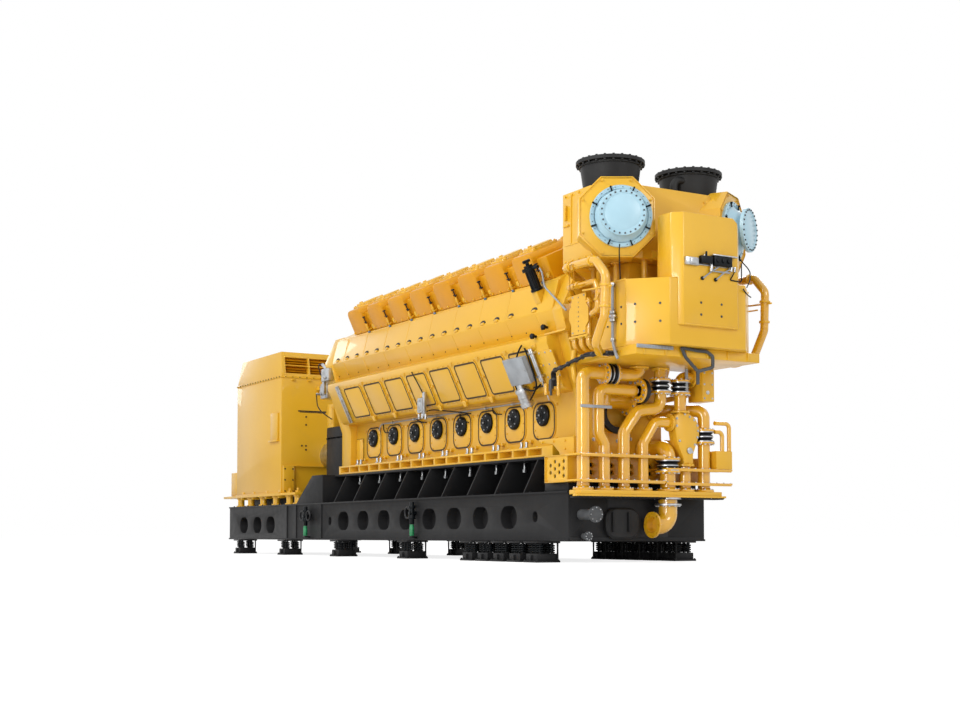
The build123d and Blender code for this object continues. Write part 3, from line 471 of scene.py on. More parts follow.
# bed: gusset studs and foundation studs
studs = Shape()
for i in range(8):
    x = -1.5 + i * pitch
    studs.post(x, -0.56, 1.16, 1.256, 0.02, 10, 0.003)
    studs.post(x, -0.56, 1.13, 1.17, 0.03, 6)
    for shift in (-0.005, 0.115):
        studs.post(x + shift, -0.6, 1.42, 1.515, 0.02, 10, 0.003)
        studs.post(x + shift, -0.6, 1.42, 1.45, 0.036, 6)
    studs.bolt((x + 0.4, -0.62, 1.42), up, 0.018)
studs.mirrored().done("foundationStuds", steel)
print("base made")

# crankcase doors, relief valves and the wall around them
doors = {"first": -1.16, "z": 1.774, "width": 0.514, "height": 0.484, "corner": 0.142, "line": 0.024,
         "wall": -0.47, "face": -0.484, "valveZ": 1.843}
doorSeals, doorBolts, valveParts, valveBolts = shapes(4)
for i in range(8):
    x = doors["first"] + i * pitch
    doorSeals.slab(oblong(doors["width"], doors["height"]), 0.002, facing((x, doors["face"], doors["z"]), ahead, left),
                   doors["corner"], hollow=doors["line"])
    for u, v in ((0.213, 0), (0.15, 0.197), (0.15, -0.197), (0.2, -0.11), (0.2, 0.11)):
        doorBolts.bolts([(x + side, doors["face"], doors["z"] + v) for side in (-u, u)], left, 0.01)
    for u in (-0.29, 0.29):
        doorBolts.bolt((x + u, doors["wall"], doors["z"] + 0.19), left, 0.016)
        foot = Vector((x + u, doors["wall"], doors["z"] - 0.25))
        doorBolts.bar(foot, foot + Vector((0, -0.04, 0)), 0.03, 12, 0, 0.022)
    valveParts.turned([(0.126, 0), (0.122, 0.006), (0.104, 0.008), (0.1, 0.004), (0.06, 0.012), (0.056, 0.02),
                       (0.03, 0.024), (0.027, 0.034), (0, 0.036)], (x, -0.522, doors["valveZ"]), left, 28)
    valveBolts.bolts(around((x, -0.529, doors["valveZ"]), left, 0.094, 6, 0.3), left, 0.007)
    valveBolts.bolt((x, -0.556, doors["valveZ"]), left, 0.009)
doorSeals.slab(oblong(0.256, 0.354), 0.006, facing((-1.68, doors["wall"], 1.687), ahead, left), 0.012)
doorBolts.bolts([(x, doors["face"], 1.687 + v) for x in (-1.78, -1.58) for v in (-0.145, 0, 0.145)], left, 0.009)
doorSeals.mirrored().done("doorSeals", gasket)
doorBolts.mirrored().done("doorBolts")
valveParts.mirrored().done("valveCaps", valvePaint)
valveBolts.mirrored().done("valveBolts", steel)
print("doors made")

# cam covers on the leaning face
bank = {"lean": radians(25), "x": -0.946, "midY": -0.8665, "midZ": 2.382, "deckY": -0.784, "deckZ": 3.452}
bankUp = Vector((0, -sin(bank["lean"]), cos(bank["lean"])))
bankIn = Vector((0, cos(bank["lean"]), sin(bank["lean"])))
camOut = -bankIn


def onCamFace(x, rise, out=0.0):
    return Vector((x, bank["midY"], bank["midZ"])) + bankUp * rise + camOut * out


def camPlace(x, rise, out=0.0):
    return facing(onCamFace(x, rise, out), ahead, camOut)


camSeals, camBolts, camTrim = shapes(3)
for i in range(8):
    x = bank["x"] + i * pitch
    camSeals.slab(oblong(0.57, 0.496), 0.002, camPlace(x, 0, 0.016), 0.055, hollow=0.024)
    spots = [(u, v) for u in (-0.278, -0.14, 0, 0.14, 0.278) for v in (-0.262, 0.262)]
    spots += [(u, v) for u in (-0.299, 0.299) for v in (-0.12, 0, 0.12)]
    camBolts.bolts([onCamFace(x + u, v, 0.016) for u, v in spots], camOut, 0.009)
    gap = x + pitch / 2
    camTrim.box((-0.02, -0.012, 0), (0.02, 0.012, 0.022), 0.004, camPlace(gap, 0.02))
    for wide, narrow, fall, depth, rise, edge in ((0.05, 0.028, 0.085, 0.03, -0.255, 0.005),
                                                  (0.045, 0.02, 0.05, 0.012, 0.29, 0.003)):
        camTrim.slab([(-wide, 0), (wide, 0), (narrow, -fall), (-narrow, -fall)], depth, camPlace(gap, rise), edge=edge)
camSeals.mirrored().done("camSeals", gasket)
camBolts.mirrored().done("camBolts")
camTrim.mirrored().done("camTrim")

# galleries above: lugs on the fold, cover seams and screws along the lower edge
gallery = {"rear": -1.825, "foldY": -0.91, "foldZ": 3.05, "lugs": 16, "first": -1.63, "last": 4.173}
facetOut, facetUp = Vector((0, -0.9675, 0.2528)), Vector((0, 0.2528, 0.9675))
lowOut = Vector((0, -0.893, -0.45))
lugs, lugSlotShade, seams, galleryScrews = shapes(4)
for x in [gallery["first"] + 0.35 * i for i in range(gallery["lugs"])] + [gallery["last"]]:
    at = facing(Vector((x, gallery["foldY"], gallery["foldZ"])) + facetUp * 0.045, ahead, facetOut)
    lugs.slab([(-0.045, -0.028), (0.045, -0.028), (0.036, 0.004), (-0.036, 0.004)], 0.016, at, edge=0.004)
    # dark slabs above each lug stand in for the shade in its slot: painted shade
    lugSlotShade.slab([(-0.075, -0.004), (0.075, -0.004), (0.05, 0.026), (0.02, 0.036), (-0.02, 0.036), (-0.05, 0.026)],
                  0.005, at)
for i in range(9):
    x = gallery["rear"] + 0.42 + i * pitch
    for y, z, reach, out in ((gallery["foldY"], gallery["foldZ"], 0.372, facetOut), (-0.784, 2.8, 0.262, lowOut)):
        seams.box((-0.005, 0.012, -0.002), (0.005, reach, 0.0025), 0.001, facing((x, y, z), ahead, out))
galleryScrews.bolts([(gallery["rear"] + 0.08 + i * 0.35, -0.813, 2.857) for i in range(19)], lowOut, 0.008, False)
lugs.mirrored().done("galleryLugs")
# the dark slabs over the lugs are painted shade of the slots
lugSlotShade.mirrored().done("galleryLugSlotShade", rubber, "valve_black")
seams.mirrored().done("gallerySeams")
galleryScrews.mirrored().done("galleryScrews", gasket)
print("banks made")

# head covers: lids with screws, indicator cocks between them and blue plugs
heads = {"first": -1.236, "cover": 0.47, "depth": 0.64, "lid": 0.36, "rise": 0.388, "round": 0.1}


def onBank(x, inward, rise):
    return Vector((x, bank["deckY"], bank["deckZ"])) + bankIn * inward + bankUp * rise


half, arc = heads["cover"] / 2, [pi / 2 * k / 6 for k in range(7)]
coverOutline = [(-half, 0), (half, 0)]
for side, angles in ((1, arc), (-1, arc[::-1])):
    coverOutline += [(side * (half - heads["round"] * (1 - cos(a))), heads["rise"] - heads["round"] * (1 - sin(a)))
                     for a in angles]
screwSpots = [(u, v) for u in (-0.152, 0.152) for v in (-0.16, -0.056, 0.056, 0.16)]
screwSpots += [(u, v) for u in (-0.08, 0.08) for v in (-0.2144, 0.2144)]
covers, lids, lidScrews, cocks, cockTops, plugs = shapes(6)
for i in range(8):
    x = heads["first"] + i * pitch
    lidPlace = facing(onBank(x + half, heads["depth"] / 2, heads["lid"]), ahead, bankUp)
    covers.slab(coverOutline, heads["depth"], facing(onBank(x + half, heads["depth"], 0), ahead, -bankIn), edge=0.026)
    lids.slab(oblong(0.33, 0.46), 0.052, lidPlace, 0.07, 0.006)
    lids.slab(oblong(0.25, 0.36), 0.08, lidPlace, 0.06, 0.02)
    lids.bar(onBank(x + half, 0.2, 0.385), onBank(x + half, 0.2, 0.46), 0.03, 12, 0.004)
    lidScrews.bolts([lidPlace @ Vector((u, v, 0.05)) for u, v in screwSpots], bankUp, 0.0125)
    lidScrews.bolts([onBank(x + u, 0, 0.03) for u in (0.03, half, 0.44)], -bankIn, 0.012)
    side = x + heads["cover"] + 0.045
    cocks.bars([
        (onBank(side, 0.055, 0.03), onBank(side, 0, 0.03), 0.018, 10, 0.002),
        (onBank(side, 0, 0.015), onBank(side, 0, 0.13), 0.016, 10, 0.002),
        (onBank(side, 0, 0.06), onBank(side, 0, 0.085), 0.024, 6),
    ])
    cockTops.bars([
        (onBank(side, 0, 0.13), onBank(side, 0, 0.235), 0.009, 8),
        (onBank(side - 0.035, 0, 0.235), onBank(side + 0.035, 0, 0.235), 0.011, 8, 0.003),
        (onBank(side - 0.03, -0.004, 0.155), onBank(side + 0.05, -0.004, 0.15), 0.009, 8, 0.002),
    ])
    plugs.post(x + 0.55, -0.8, 3.425, 3.452, 0.02, 10, 0.003)
    lids.bar(onBank(side + 0.11, 0.055, 0.06), onBank(side + 0.11, 0.03, 0.06), 0.035, 14, 0.004)
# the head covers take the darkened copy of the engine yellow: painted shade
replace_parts(covers.mirrored().done("headCovers", shadeDarkenedPaint), "head_covers")
lids.mirrored().done("headLids")
lidScrews.mirrored().done("headScrews")
cocks.mirrored().done("indicatorCocks")
cockTops.mirrored().done("indicatorHandles", valvePaint)
plugs.mirrored().done("galleryPlugs", bluePlastic)

# straps round the exhaust lagging and the two air pipes beside it
straps = Shape()
for x in [-1.4 + pitch * i for i in range(9)]:
    for y, reach, low, high in ((-0.16, 0.32, 4.028, 4.036), (-0.236, 0.01, 3.79, 3.955), (0.226, 0.01, 3.79, 3.955)):
        straps.box((x, y, low), (x + 0.04, y + reach, high), 0.002)
straps.done("laggingStraps")
airLines = ((-0.34, 4.02), (-0.42, 3.88))
tubing("airPipes", enginePaint, 0.062, bothSides([[(3.2, y, z), (4.95, y, z + 0.02)] for y, z in airLines]))
airClamps = Shape()
airClamps.bars([((x, y, z + 0.01), (x + 0.03, y, z + 0.01), 0.078, 20, 0.003)
                for x in (3.35, 4.0, 4.65, 4.9) for y, z in airLines])
airClamps.mirrored().done("airClamps")
print("heads made")

# starting-air valve and the grey tube that comes down from it
valveFoot = Vector((4.25, -0.905, 3.325))
top = valveFoot + bankUp * 0.33
grip = top + bankUp * 0.05
port = top - bankUp * 0.05
startParts = Shape()
startParts.bars([
    (valveFoot, valveFoot + bankUp * 0.03, 0.078, 20, 0.004), (top, grip, 0.024, 12, 0.004),
    (grip - bankIn * 0.05, grip + bankIn * 0.05, 0.02, 10, 0.004), (port, port + Vector((0.2, 0, 0)), 0.02, 10, 0.003),
])
startParts.bars([(rib + bankUp * 0.03, rib + bankUp * 0.255, 0.007, 6) for rib in around(valveFoot, bankUp, 0.06, 8)])
startParts.bolts(around(valveFoot + bankUp * 0.294, bankUp, 0.077, 8), bankUp, 0.009)
startParts.done("startValveParts", valvePaint)
tubing("startTube", greyPaint, 0.012, [
    [(4.45, -1.0, 3.56), (4.508, -1.0, 3.5), (4.508, -0.97, 3.33), (4.8, -0.93, 3.08), (4.92, -0.93, 2.99)],
])

# boxes, motor and tubes on the last cam cover
motor = {"x": 3.93, "rise": 0.03, "width": 0.225, "height": 0.17, "lid": 0.132}
motorPlace = camPlace(motor["x"], motor["rise"], 0.016)
mounts, motorBox, motorSteel = shapes(3)
mounts.turned([(0, 0), (0.23, 0), (0.235, 0.01), (0.22, 0.03), (0.16, 0.045), (0.15, 0.07), (0, 0.07)],
              motorPlace @ Vector((-0.09, -0.07, 0)), camOut, 32)
mounts.slab(oblong(0.3, 0.36), 0.014, camPlace(4.49, 0.02, -0.001), edge=0.003)
mounts.slab([(-0.2, -0.26), (0.12, -0.26), (0.16, 0.26), (-0.16, 0.26)], 0.02,
            facing((4.684, -0.8, 2.75), left, up), edge=0.003)
mounts.done("motorMounts")
for grow, low, high, edge in ((0, 0.05, 0.115, 0.01), (0.004, 0.115, motor["lid"], 0.008)):
    u, v = motor["width"] + grow, motor["height"] + grow
    motorBox.box((-u, -v, low), (u, v, high), edge, motorPlace)
motorBox.done("motorBox", greyPaint)
lidSpots = [(u, v, motor["lid"]) for u in (-0.2, 0.2) for v in (-0.145, 0, 0.145)]
motorSteel.bolts([motorPlace @ Vector(spot) for spot in lidSpots], camOut, 0.007)
motorSteel.turned(
    [(0, 0), (0.05, 0), (0.052, 0.05), (0.088, 0.055), (0.092, 0.075), (0.092, 0.1), (0.08, 0.105), (0.08, 0.15),
     (0.086, 0.155), (0.086, 0.175), (0.08, 0.18), (0.08, 0.24), (0.088, 0.245), (0.088, 0.29), (0.06, 0.3), (0, 0.3)],
    onCamFace(3.86, -0.14, 0.12), -bankUp, 28,
)
motorSteel.bolts(around(onCamFace(3.86, -0.44, 0.12), bankUp, 0.06, 6), -bankUp, 0.01)
for x, low, high, size in ((4.235, -0.17, 0.26, (0.017, 10, 0.003)), (4.275, -0.17, 0.26, (0.017, 10, 0.003)),
                           (4.255, -0.42, -0.17, (0.009, 8))):
    motorSteel.bar(onCamFace(x, low, 0.05), onCamFace(x, high, 0.05), *size)
for rise in (-0.1, 0.2):
    motorSteel.box((-0.055, -0.012, 0), (0.055, 0.012, 0.07), 0.002, camPlace(4.255, rise))
motorSteel.bolts([onCamFace(4.49 + u, 0.02 + v, 0.013) for u in (-0.13, 0, 0.13) for v in (-0.155, 0, 0.155)],
                 camOut, 0.009)
for u, v, low, high in ((0.045, 0.31, 0, 0.02), (0.012, 0.3, 0.02, 0.045)):
    motorSteel.box((-u, -v, low), (u, v, high), 0.004, camPlace(-1.42, 0, 0.006))
motorSteel.done("motorSteel", steel)
motorRoutes = [
    [(4.12, 0.28, 0.03), (4.16, 0.12, 0.05), (4.15, -0.05, 0.06), (4.2, -0.2, 0.1), (3.97, -0.36, 0.13)],
    [(4.07, 0.32, 0.02), (4.02, 0.27, 0.06), (3.99, 0.2, 0.1)],
    [(3.72, -0.15, 0.1), (3.68, -0.25, 0.08), (3.74, -0.38, 0.04), (3.9, -0.45, 0.1)],
    [(3.96, -0.2, 0.14), (4.08, -0.27, 0.1), (4.2, -0.2, 0.05)],
]
tubing("motorCables", valvePaint, 0.011, [[onCamFace(*spot) for spot in route] for route in motorRoutes], bend=0.12)

loom = [(4.63, -0.93, 2.08), (4.62, -0.94, 2.27), (4.76, -0.97, 2.29), (4.95, -1.0, 2.285), (5.12, -1.0, 2.34),
        (5.29, -1.0, 2.345), (5.37, -1.0, 2.385), (5.7, -0.99, 2.36), (5.9, -0.95, 2.35)]
tubing("freeEndLoom", rubber, 0.014, [
    [(x, y + shift, z + shift * 0.8 + 0.012 * ((i + k) % 2)) for i, (x, y, z) in enumerate(loom)]
    for k, shift in enumerate((0.0, 0.022, 0.044))
], 0.04)
loomClamps, loomPosts, knobs = shapes(3)
for start, end in zip(loom, loom[1:]):
    middle = (Vector(start) + Vector(end)) / 2 + Vector((0, 0.02, 0.02))
    along = (Vector(end) - Vector(start)).normalized() * 0.012
    loomClamps.bar(middle - along, middle + along, 0.032, 8, 0.004)
loomClamps.post(4.62, -0.95, 2.0, 2.2, 0.016, 10, 0.003)
loomClamps.post(4.52, -0.9, 2.06, 2.2, 0.014, 10, 0.003)
loomClamps.done("loomClamps", capPaint)
loomPosts.post(4.44, -0.9, 2.02, 2.16, 0.03, 10, 0.004)
loomPosts.post(4.8, -0.96, 1.98, 2.22, 0.022, 10, 0.004)
loomPosts.done("loomPosts", pipePaint)
for foot in ((4.365, -0.832, 2.86), (4.343, -0.978, 2.74)):
    knobs.turned([(0, 0), (0.016, 0), (0.018, 0.04), (0.034, 0.045), (0.036, 0.075), (0.026, 0.085), (0, 0.087)],
                 foot, left, 18)
knobs.done("shoulderKnobs", valvePaint)

# junction box and conduits above the doors
conduitY = -0.5
tubing("doorConduits", greyPaint, 0.011, [
    [(-0.95, conduitY, 1.96), (-0.884, conduitY, 2.045), (3.3, conduitY, 2.045), (3.6, -0.72, 2.05), (3.9, -0.86, 2.0)],
    [(1.13, -0.86, 1.99), (1.1, -0.7, 2.03), (1.05, conduitY, 2.03)],
], bend=0.07)
tubing("doorCables", valvePaint, 0.009, [
    [(1.09, -0.995, 2.63), (1.15, -0.96, 2.52), (1.22, -0.94, 2.42), (1.24, -0.9, 2.33)],
    [(-0.8, conduitY, 2.04), (-0.76, -0.515, 1.95), (-0.72, -0.51, 1.9), (-0.45, -0.51, 1.91)],
    [(0.3, conduitY, 2.04), (0.42, -0.51, 1.99), (0.62, -0.51, 1.97)],
    [(1.21, -0.86, 2.06), (1.34, -0.8, 2.09), (1.7, -0.66, 2.04), (1.95, -0.52, 2.0)],
    [(1.6, conduitY, 2.04), (1.66, -0.53, 1.94), (1.9, -0.53, 1.88)],
    [(2.5, conduitY, 2.04), (2.56, -0.53, 1.95), (2.75, -0.51, 1.93)],
], bend=0.08)
junction, junctionStay = shapes(2)
junction.boxes([
    ((1.12, -0.92, 2.05), (1.26, -0.86, 2.26), 0.008), ((1.235, -0.905, 1.99), (1.3, -0.865, 2.34), 0.006),
    ((1.135, -0.93, 2.07), (1.21, -0.915, 2.23), 0.004),
])
junction.bolts([(x, -0.93, z) for x in (1.15, 1.2) for z in (2.08, 2.21)], left, 0.007)
for x, z in ((1.3, 2.02), (1.2, 2.04), (1.1, 2.04)):
    junction.post(x, -0.88, z, z - 0.07, 0.02, 10, 0.002)
junction.bars([((x, conduitY, 2.045), (x + 0.04, conduitY, 2.045), 0.022, 8) for x in [-0.5 + i * pitch for i in range(6)]])
junction.done("junctionBox", steel)
junctionStay.box((1.08, -0.86, 2.28), (1.22, -0.8, 2.4), 0.004)
junctionStay.done("junctionStay")

# sensor boxes on the flywheel housing, control post and guard seam
sensors, post, guardParts = shapes(3)
sensors.boxes([
    ((-2.14, -0.96, 2.8), (-1.86, -0.86, 3.0), 0.01), ((-2.44, -0.84, 2.55), (-2.17, -0.64, 2.8), 0.01),
    ((-2.4, -0.87, 2.6), (-2.22, -0.84, 2.76), 0.008), ((-2.17, -0.93, 2.6), (-2.1, -0.88, 2.82), 0.004),
])
sensors.bars([
    ((-2.05, -0.91, 3.0), (-2.2, -0.91, 3.09), 0.025, 10, 0.003),
    ((-2.31, -0.74, 2.8), (-2.31, -0.74, 2.9), 0.03, 10, 0.003),
    ((-2.35, -0.88, 2.62), (-2.35, -0.95, 2.62), 0.018, 10, 0.002),
    ((-1.95, -0.96, 2.86), (-1.95, -1.0, 2.84), 0.022, 10, 0.002),
])
sensors.done("sensorBoxes", steel)
tubing("sensorCables", valvePaint, 0.009, [
    [(-2.2, -0.91, 3.09), (-2.45, -0.88, 3.12), (-2.52, -0.8, 2.95), (-2.4, -0.74, 2.81)],
    [(-2.35, -0.95, 2.62), (-2.3, -0.95, 2.4), (-2.2, -0.9, 2.3), (-2.16, -0.75, 2.2)],
], bend=0.08)
post.boxes([((-2.8, -0.555, 2.11), (-2.55, -0.4, 2.5), 0.01), ((-2.77, -0.562, 2.16), (-2.58, -0.554, 2.46), 0.004)])
post.bolts([(x, -0.562, z) for x in (-2.75, -2.6) for z in (2.18, 2.44)], left, 0.008)
post.done("controlPost")
guard = {"rear": -2.816, "front": -2.161, "side": 0.566, "seam": 1.93}
guardParts.box((guard["rear"], -guard["side"], guard["seam"] - 0.012),
               (guard["front"], guard["side"], guard["seam"] + 0.012), 0.003)
guardParts.bolts([(x, -guard["side"], guard["seam"]) for x in (-2.75, -2.6, -2.4, -2.22)], left, 0.012)
guardParts.mirrored().done("guardSeam", basePaint)
print("small gear made")

# free end: pipe collars, bolts, shelf and stays
pipes = {"x": 5.26, "footTop": 0.85, "shelf": 0.776, "front": 5.388}
feet = {-0.926: 0.076, -0.627: 0.068, -0.345: 0.072, -0.063: 0.064, 0.304: 0.095, 0.564: 0.073, 0.86: 0.075}
collars, pipeBolts, shelf, darkParts = shapes(4)
for y, radius in feet.items():
    collars.turned([(radius, 0), (radius + 0.045, 0), (radius + 0.048, 0.004), (radius + 0.048, 0.026),
                    (radius + 0.012, 0.032), (radius, 0.05)], (pipes["x"], y, pipes["footTop"]), up, 28)
    for level, out in ((pipes["footTop"] + 0.027, up), (pipes["shelf"], down)):
        pipeBolts.bolts(around((pipes["x"], y, level), up, radius + 0.03, 8, 0.2), out, 0.0105)
pipeBolts.bolts([(5.36, -0.98 + 0.14 * i, 0.8) for i in range(15)], up, 0.009)
for low, high, z in ((-1.04, 0.16, 0.972), (-1.04, 0.16, 1.272), (0.21, 1.18, 0.957), (0.21, 1.18, 1.127)):
    count = int((high - low) / 0.1)
    pipeBolts.bolts([(5.375, low + i * (high - low) / count, z) for i in range(count + 1)], up, 0.009)
    collars.box((pipes["front"], low, z - 0.036), (pipes["front"] + 0.008, high, z - 0.002), 0.001)
collars.done("pipeCollars", pipePaint)
corners = [(5.075, 0.88), (5.22, 1.03), (5.3, 1.1), (pipes["front"], 1.1)]
shelf.slab([(x, -y) for x, y in corners] + corners[::-1], 0.024, Matrix.Translation((0, 0, pipes["shelf"])), edge=0.003)
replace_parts(shelf.done("pipeShelf"), "pipe_shelf")
darkParts.box((5.2, -1.07, 0.756), (5.37, 1.07, 0.7755), 0.003)
darkParts.bolts([(5.378, -1.06 + 0.053 * i, 0.7755) for i in range(41)], down, 0.014)
darkParts.bars([((5.034, y, z), (5.04, y, z), 0.0295, 16)  # behind the windows and holes of the truss beam
                for y in (-0.681, -0.39, -0.109, 0.185) for z in (1.0655, 1.1515)])
trussHoles = [(x, z) for x in (4.693, 4.879) for z in (1.1515, 1.0655)]
trussHoles += [(x, z) for x in (4.786, 4.972) for z in (1.1945, 1.1085, 1.0225)]
darkParts.bars([((x, side * 0.986, z), (x, side * 0.992, z), 0.0246, 16) for x, z in trussHoles for side in (-1, 1)])
darkParts.done("shelfUnderside", basePaint)
pipeBolts.done("pipeBolts", steel)

bellowPlaces = [  # place, direction, pipe radius
    ((5.26, -0.555, 2.22), right, 0.076), ((5.26, 0.198, 2.11), up, 0.072), ((5.26, 0.498, 2.11), up, 0.073),
    ((5.26, 0.86, 1.525), up, 0.075), ((5.26, 0.304, 1.16), up, 0.095),
]
bellows, bellowsFlanges, bellowsBolts = shapes(3)
for place, out, radius in bellowPlaces:
    place, out = Vector(place), Vector(out)
    folds = [(radius, -0.07)]
    for low in (-0.06, -0.03, 0.0, 0.03):
        folds += [(radius + rise, low + z) for rise, z in ((0.012, 0), (0.034, 0.01), (0.034, 0.02), (0.012, 0.03))]
    bellows.turned(folds + [(radius, 0.07)], place, out)
    for way in (-out, out):
        face = place + way * 0.064
        bellowsFlanges.turned([(radius, 0), (radius + 0.056, 0), (radius + 0.06, 0.004), (radius + 0.06, 0.02),
                               (radius + 0.056, 0.024), (radius + 0.01, 0.026), (radius, 0.04)], face, way)
        bellowsBolts.turned([(radius + 0.03, 0), (radius + 0.054, 0), (radius + 0.054, 0.012), (radius + 0.03, 0.012)],
                            face - way * 0.012, way)
        bellowsBolts.bolts(around(face + way * 0.024, out, radius + 0.04, 12), way, 0.0115)
    bellowsBolts.turned([(radius + 0.02, -0.006), (radius + 0.042, -0.006), (radius + 0.042, 0.006), (radius + 0.02, 0.006)],
                        place, out)
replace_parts(bellows.done("bellowsRubber", rubber), "pipe_bellows")
bellowsFlanges.done("bellowsFlanges", pipePaint)
bellowsBolts.done("bellowsBolts", steel)

# couplings and blanked stub behind the pipes
couplings, couplingRims, couplingBolts, flanges = shapes(4)
for place, out, radius in (((5.26, -0.1, 2.04), right, 0.07), ((4.97, -0.06, 1.95), right, 0.11),
                           ((4.84, -0.16, 1.8), ahead, 0.17)):
    place, out = Vector(place), Vector(out)
    couplings.turned([(radius, 0), (radius + 0.07, 0.004), (radius + 0.08, 0.03), (radius + 0.07, 0.056), (radius, 0.06)],
                     place, out, 36)
    couplingRims.turned([(radius, -0.03), (radius + 0.07, -0.03), (radius + 0.076, -0.024), (radius + 0.076, -0.006),
                         (radius + 0.07, 0), (radius, 0)], place, out, 36)
    couplingBolts.bolts(around(place - out * 0.03, out, radius + 0.045, 12), -out, 0.0115)
couplingRims.turned([(0, 0), (0.085, 0), (0.11, 0.02), (0.11, 0.34), (0, 0.34)], (4.97, -0.42, 1.95), right, 36)
couplingBolts.bolts([(4.79, y, z) for y, z in (
    (-0.62, 1.75), (-0.6, 1.62), (-0.66, 1.5), (-0.45, 1.48), (-0.3, 1.45), (-0.1, 1.47), (0.1, 1.5), (-0.52, 2.1),
    (-0.35, 2.18), (-0.1, 2.2), (0.1, 2.2), (0.3, 2.1),
)], ahead, 0.016)
couplings.done("couplings", rubber)
couplingRims.done("couplingRims", pipePaint)
couplingBolts.done("couplingBolts", steel)
for place, out, radius in (  # flanges along the longer pipes
    ((5.26, -0.12, 2.315), up, 0.076), ((5.26, 0.198, 2.315), up, 0.072), ((5.26, 0.33, 1.68), right, 0.064),
    ((5.26, 0.498, 1.812), up, 0.073), ((5.26, 0.66, 2.235), right, 0.073), ((5.26, 0.564, 1.168), up, 0.073),
    ((4.81, -0.16, 2.04), ahead, 0.068), ((4.81, 0.44, 1.85), ahead, 0.075), ((4.81, 0.304, 1.375), ahead, 0.095),
):
    flanges.turned([(radius, -0.012), (radius + 0.04, -0.012), (radius + 0.044, -0.008), (radius + 0.044, 0.008),
                    (radius + 0.04, 0.012), (radius, 0.012)], place, out, 28)
    for way in (Vector(out), -Vector(out)):
        flanges.bolts(around(Vector(place) + way * 0.012, out, radius + 0.027, 8), way, 0.009)
flanges.done("pipeFlanges")

castingBolts, greyStays, drainRings, drainBolts = shapes(4)
castingBolts.bolts([(5.335, y, z) for y, z in (
    (0.51, 1.785), (0.585, 1.755), (0.655, 1.72), (0.7, 1.655), (0.712, 1.59), (0.7, 1.51), (0.66, 1.42), (0.62, 1.33),
    (0.39, 1.73), (0.39, 1.64), (0.43, 1.46),
)], ahead, 0.011)
castingBolts.bar((5.335, 0.575, 1.345), (5.352, 0.575, 1.345), 0.04, 16, 0.003)
castingBolts.bar((5.44, 0.775, 2.05), (5.45, 0.775, 2.05), 0.025, 12, 0.002)
castingBolts.bolts([(5.44, y, z) for y in (0.73, 0.85) for z in (1.98, 2.15, 2.29)], ahead, 0.009)
castingBolts.done("castingBolts", steel)
greyStays.boxes([
    ((5.345, -1.02, 1.8), (5.355, -0.58, 1.835), 0.003), ((5.35, 0.5, 2.06), (5.372, 0.535, 2.44), 0.003),
    ((6.262, -0.9, 2.395), (6.285, -0.4, 2.435), 0.003),
])
greyStays.boxes([((6.285, y, 2.4), (6.29, y + 0.02, 2.43), 0.001) for y in [-0.89 + i * 0.042 for i in range(12)]])
greyStays.done("greyStays", greyPaint)
tubing("coolerFrame", capPaint, 0.02, [
    [(6.28, -0.284, 2.43), (6.28, -0.06, 2.409), (6.28, 0.076, 2.41), (6.28, 0.164, 2.359), (6.28, 0.164, 2.233),
     (6.28, -0.054, 2.175), (6.28, -0.227, 2.323), (6.28, -0.284, 2.43)],
    [(6.28, -0.054, 2.175), (6.28, -0.054, 2.027)],
], 0.02)
drain = {"x": 5.26, "y": 0.304, "ring": 0.678, "shelfRing": 0.752, "mouthY": 0.084, "mouthZ": 0.448}
for z in (drain["ring"], drain["shelfRing"]):
    drainRings.turned([(0.1, 0), (0.158, 0), (0.162, 0.004), (0.162, 0.02), (0.158, 0.024), (0.1, 0.024)],
                      (drain["x"], drain["y"], z), up, 36)
drainRings.done("drainRings", steel)
drainBolts.bolts(around((drain["x"], drain["y"], drain["ring"]), up, 0.14, 12), down, 0.011)
drainBolts.bolts(around((drain["x"], drain["mouthY"], drain["mouthZ"]), right, 0.135, 8), right, 0.011)
drainBolts.done("drainBolts", steel)

endBolts, trussFlanges = shapes(2)  # free-end housing, truss beam and end brackets
endBolts.bolts([(4.79, -y, z) for y, z in (
    (0.55, 1.5), (0.55, 1.75), (0.58, 2.05), (0.65, 2.25), (0.72, 2.45), (0.8, 2.7), (0.86, 2.9), (0.87, 3.05),
)], ahead, 0.014)
endBolts.bolts([(x, -0.8, z) for x, z in ((4.7, 1.36), (4.2, 1.46), (4.45, 1.46), (4.7, 1.46))], left, 0.014)
endBolts.bolts([(x, -1.008, z) for x in (4.62, 5.045) for z in (0.98, 1.11, 1.24)], left, 0.009)
endBolts.mirrored().done("endBolts")
for start, end, low, high in ((4.585, 5.08, 0.947, 0.957), (4.585, 5.08, 1.26, 1.27), (4.585, 4.6, 0.957, 1.26),
                              (5.062, 5.077, 0.957, 1.26)):
    trussFlanges.box((start, -1.022, low), (end, -1.005, high), 0.002)
trussFlanges.mirrored().done("trussFlanges")

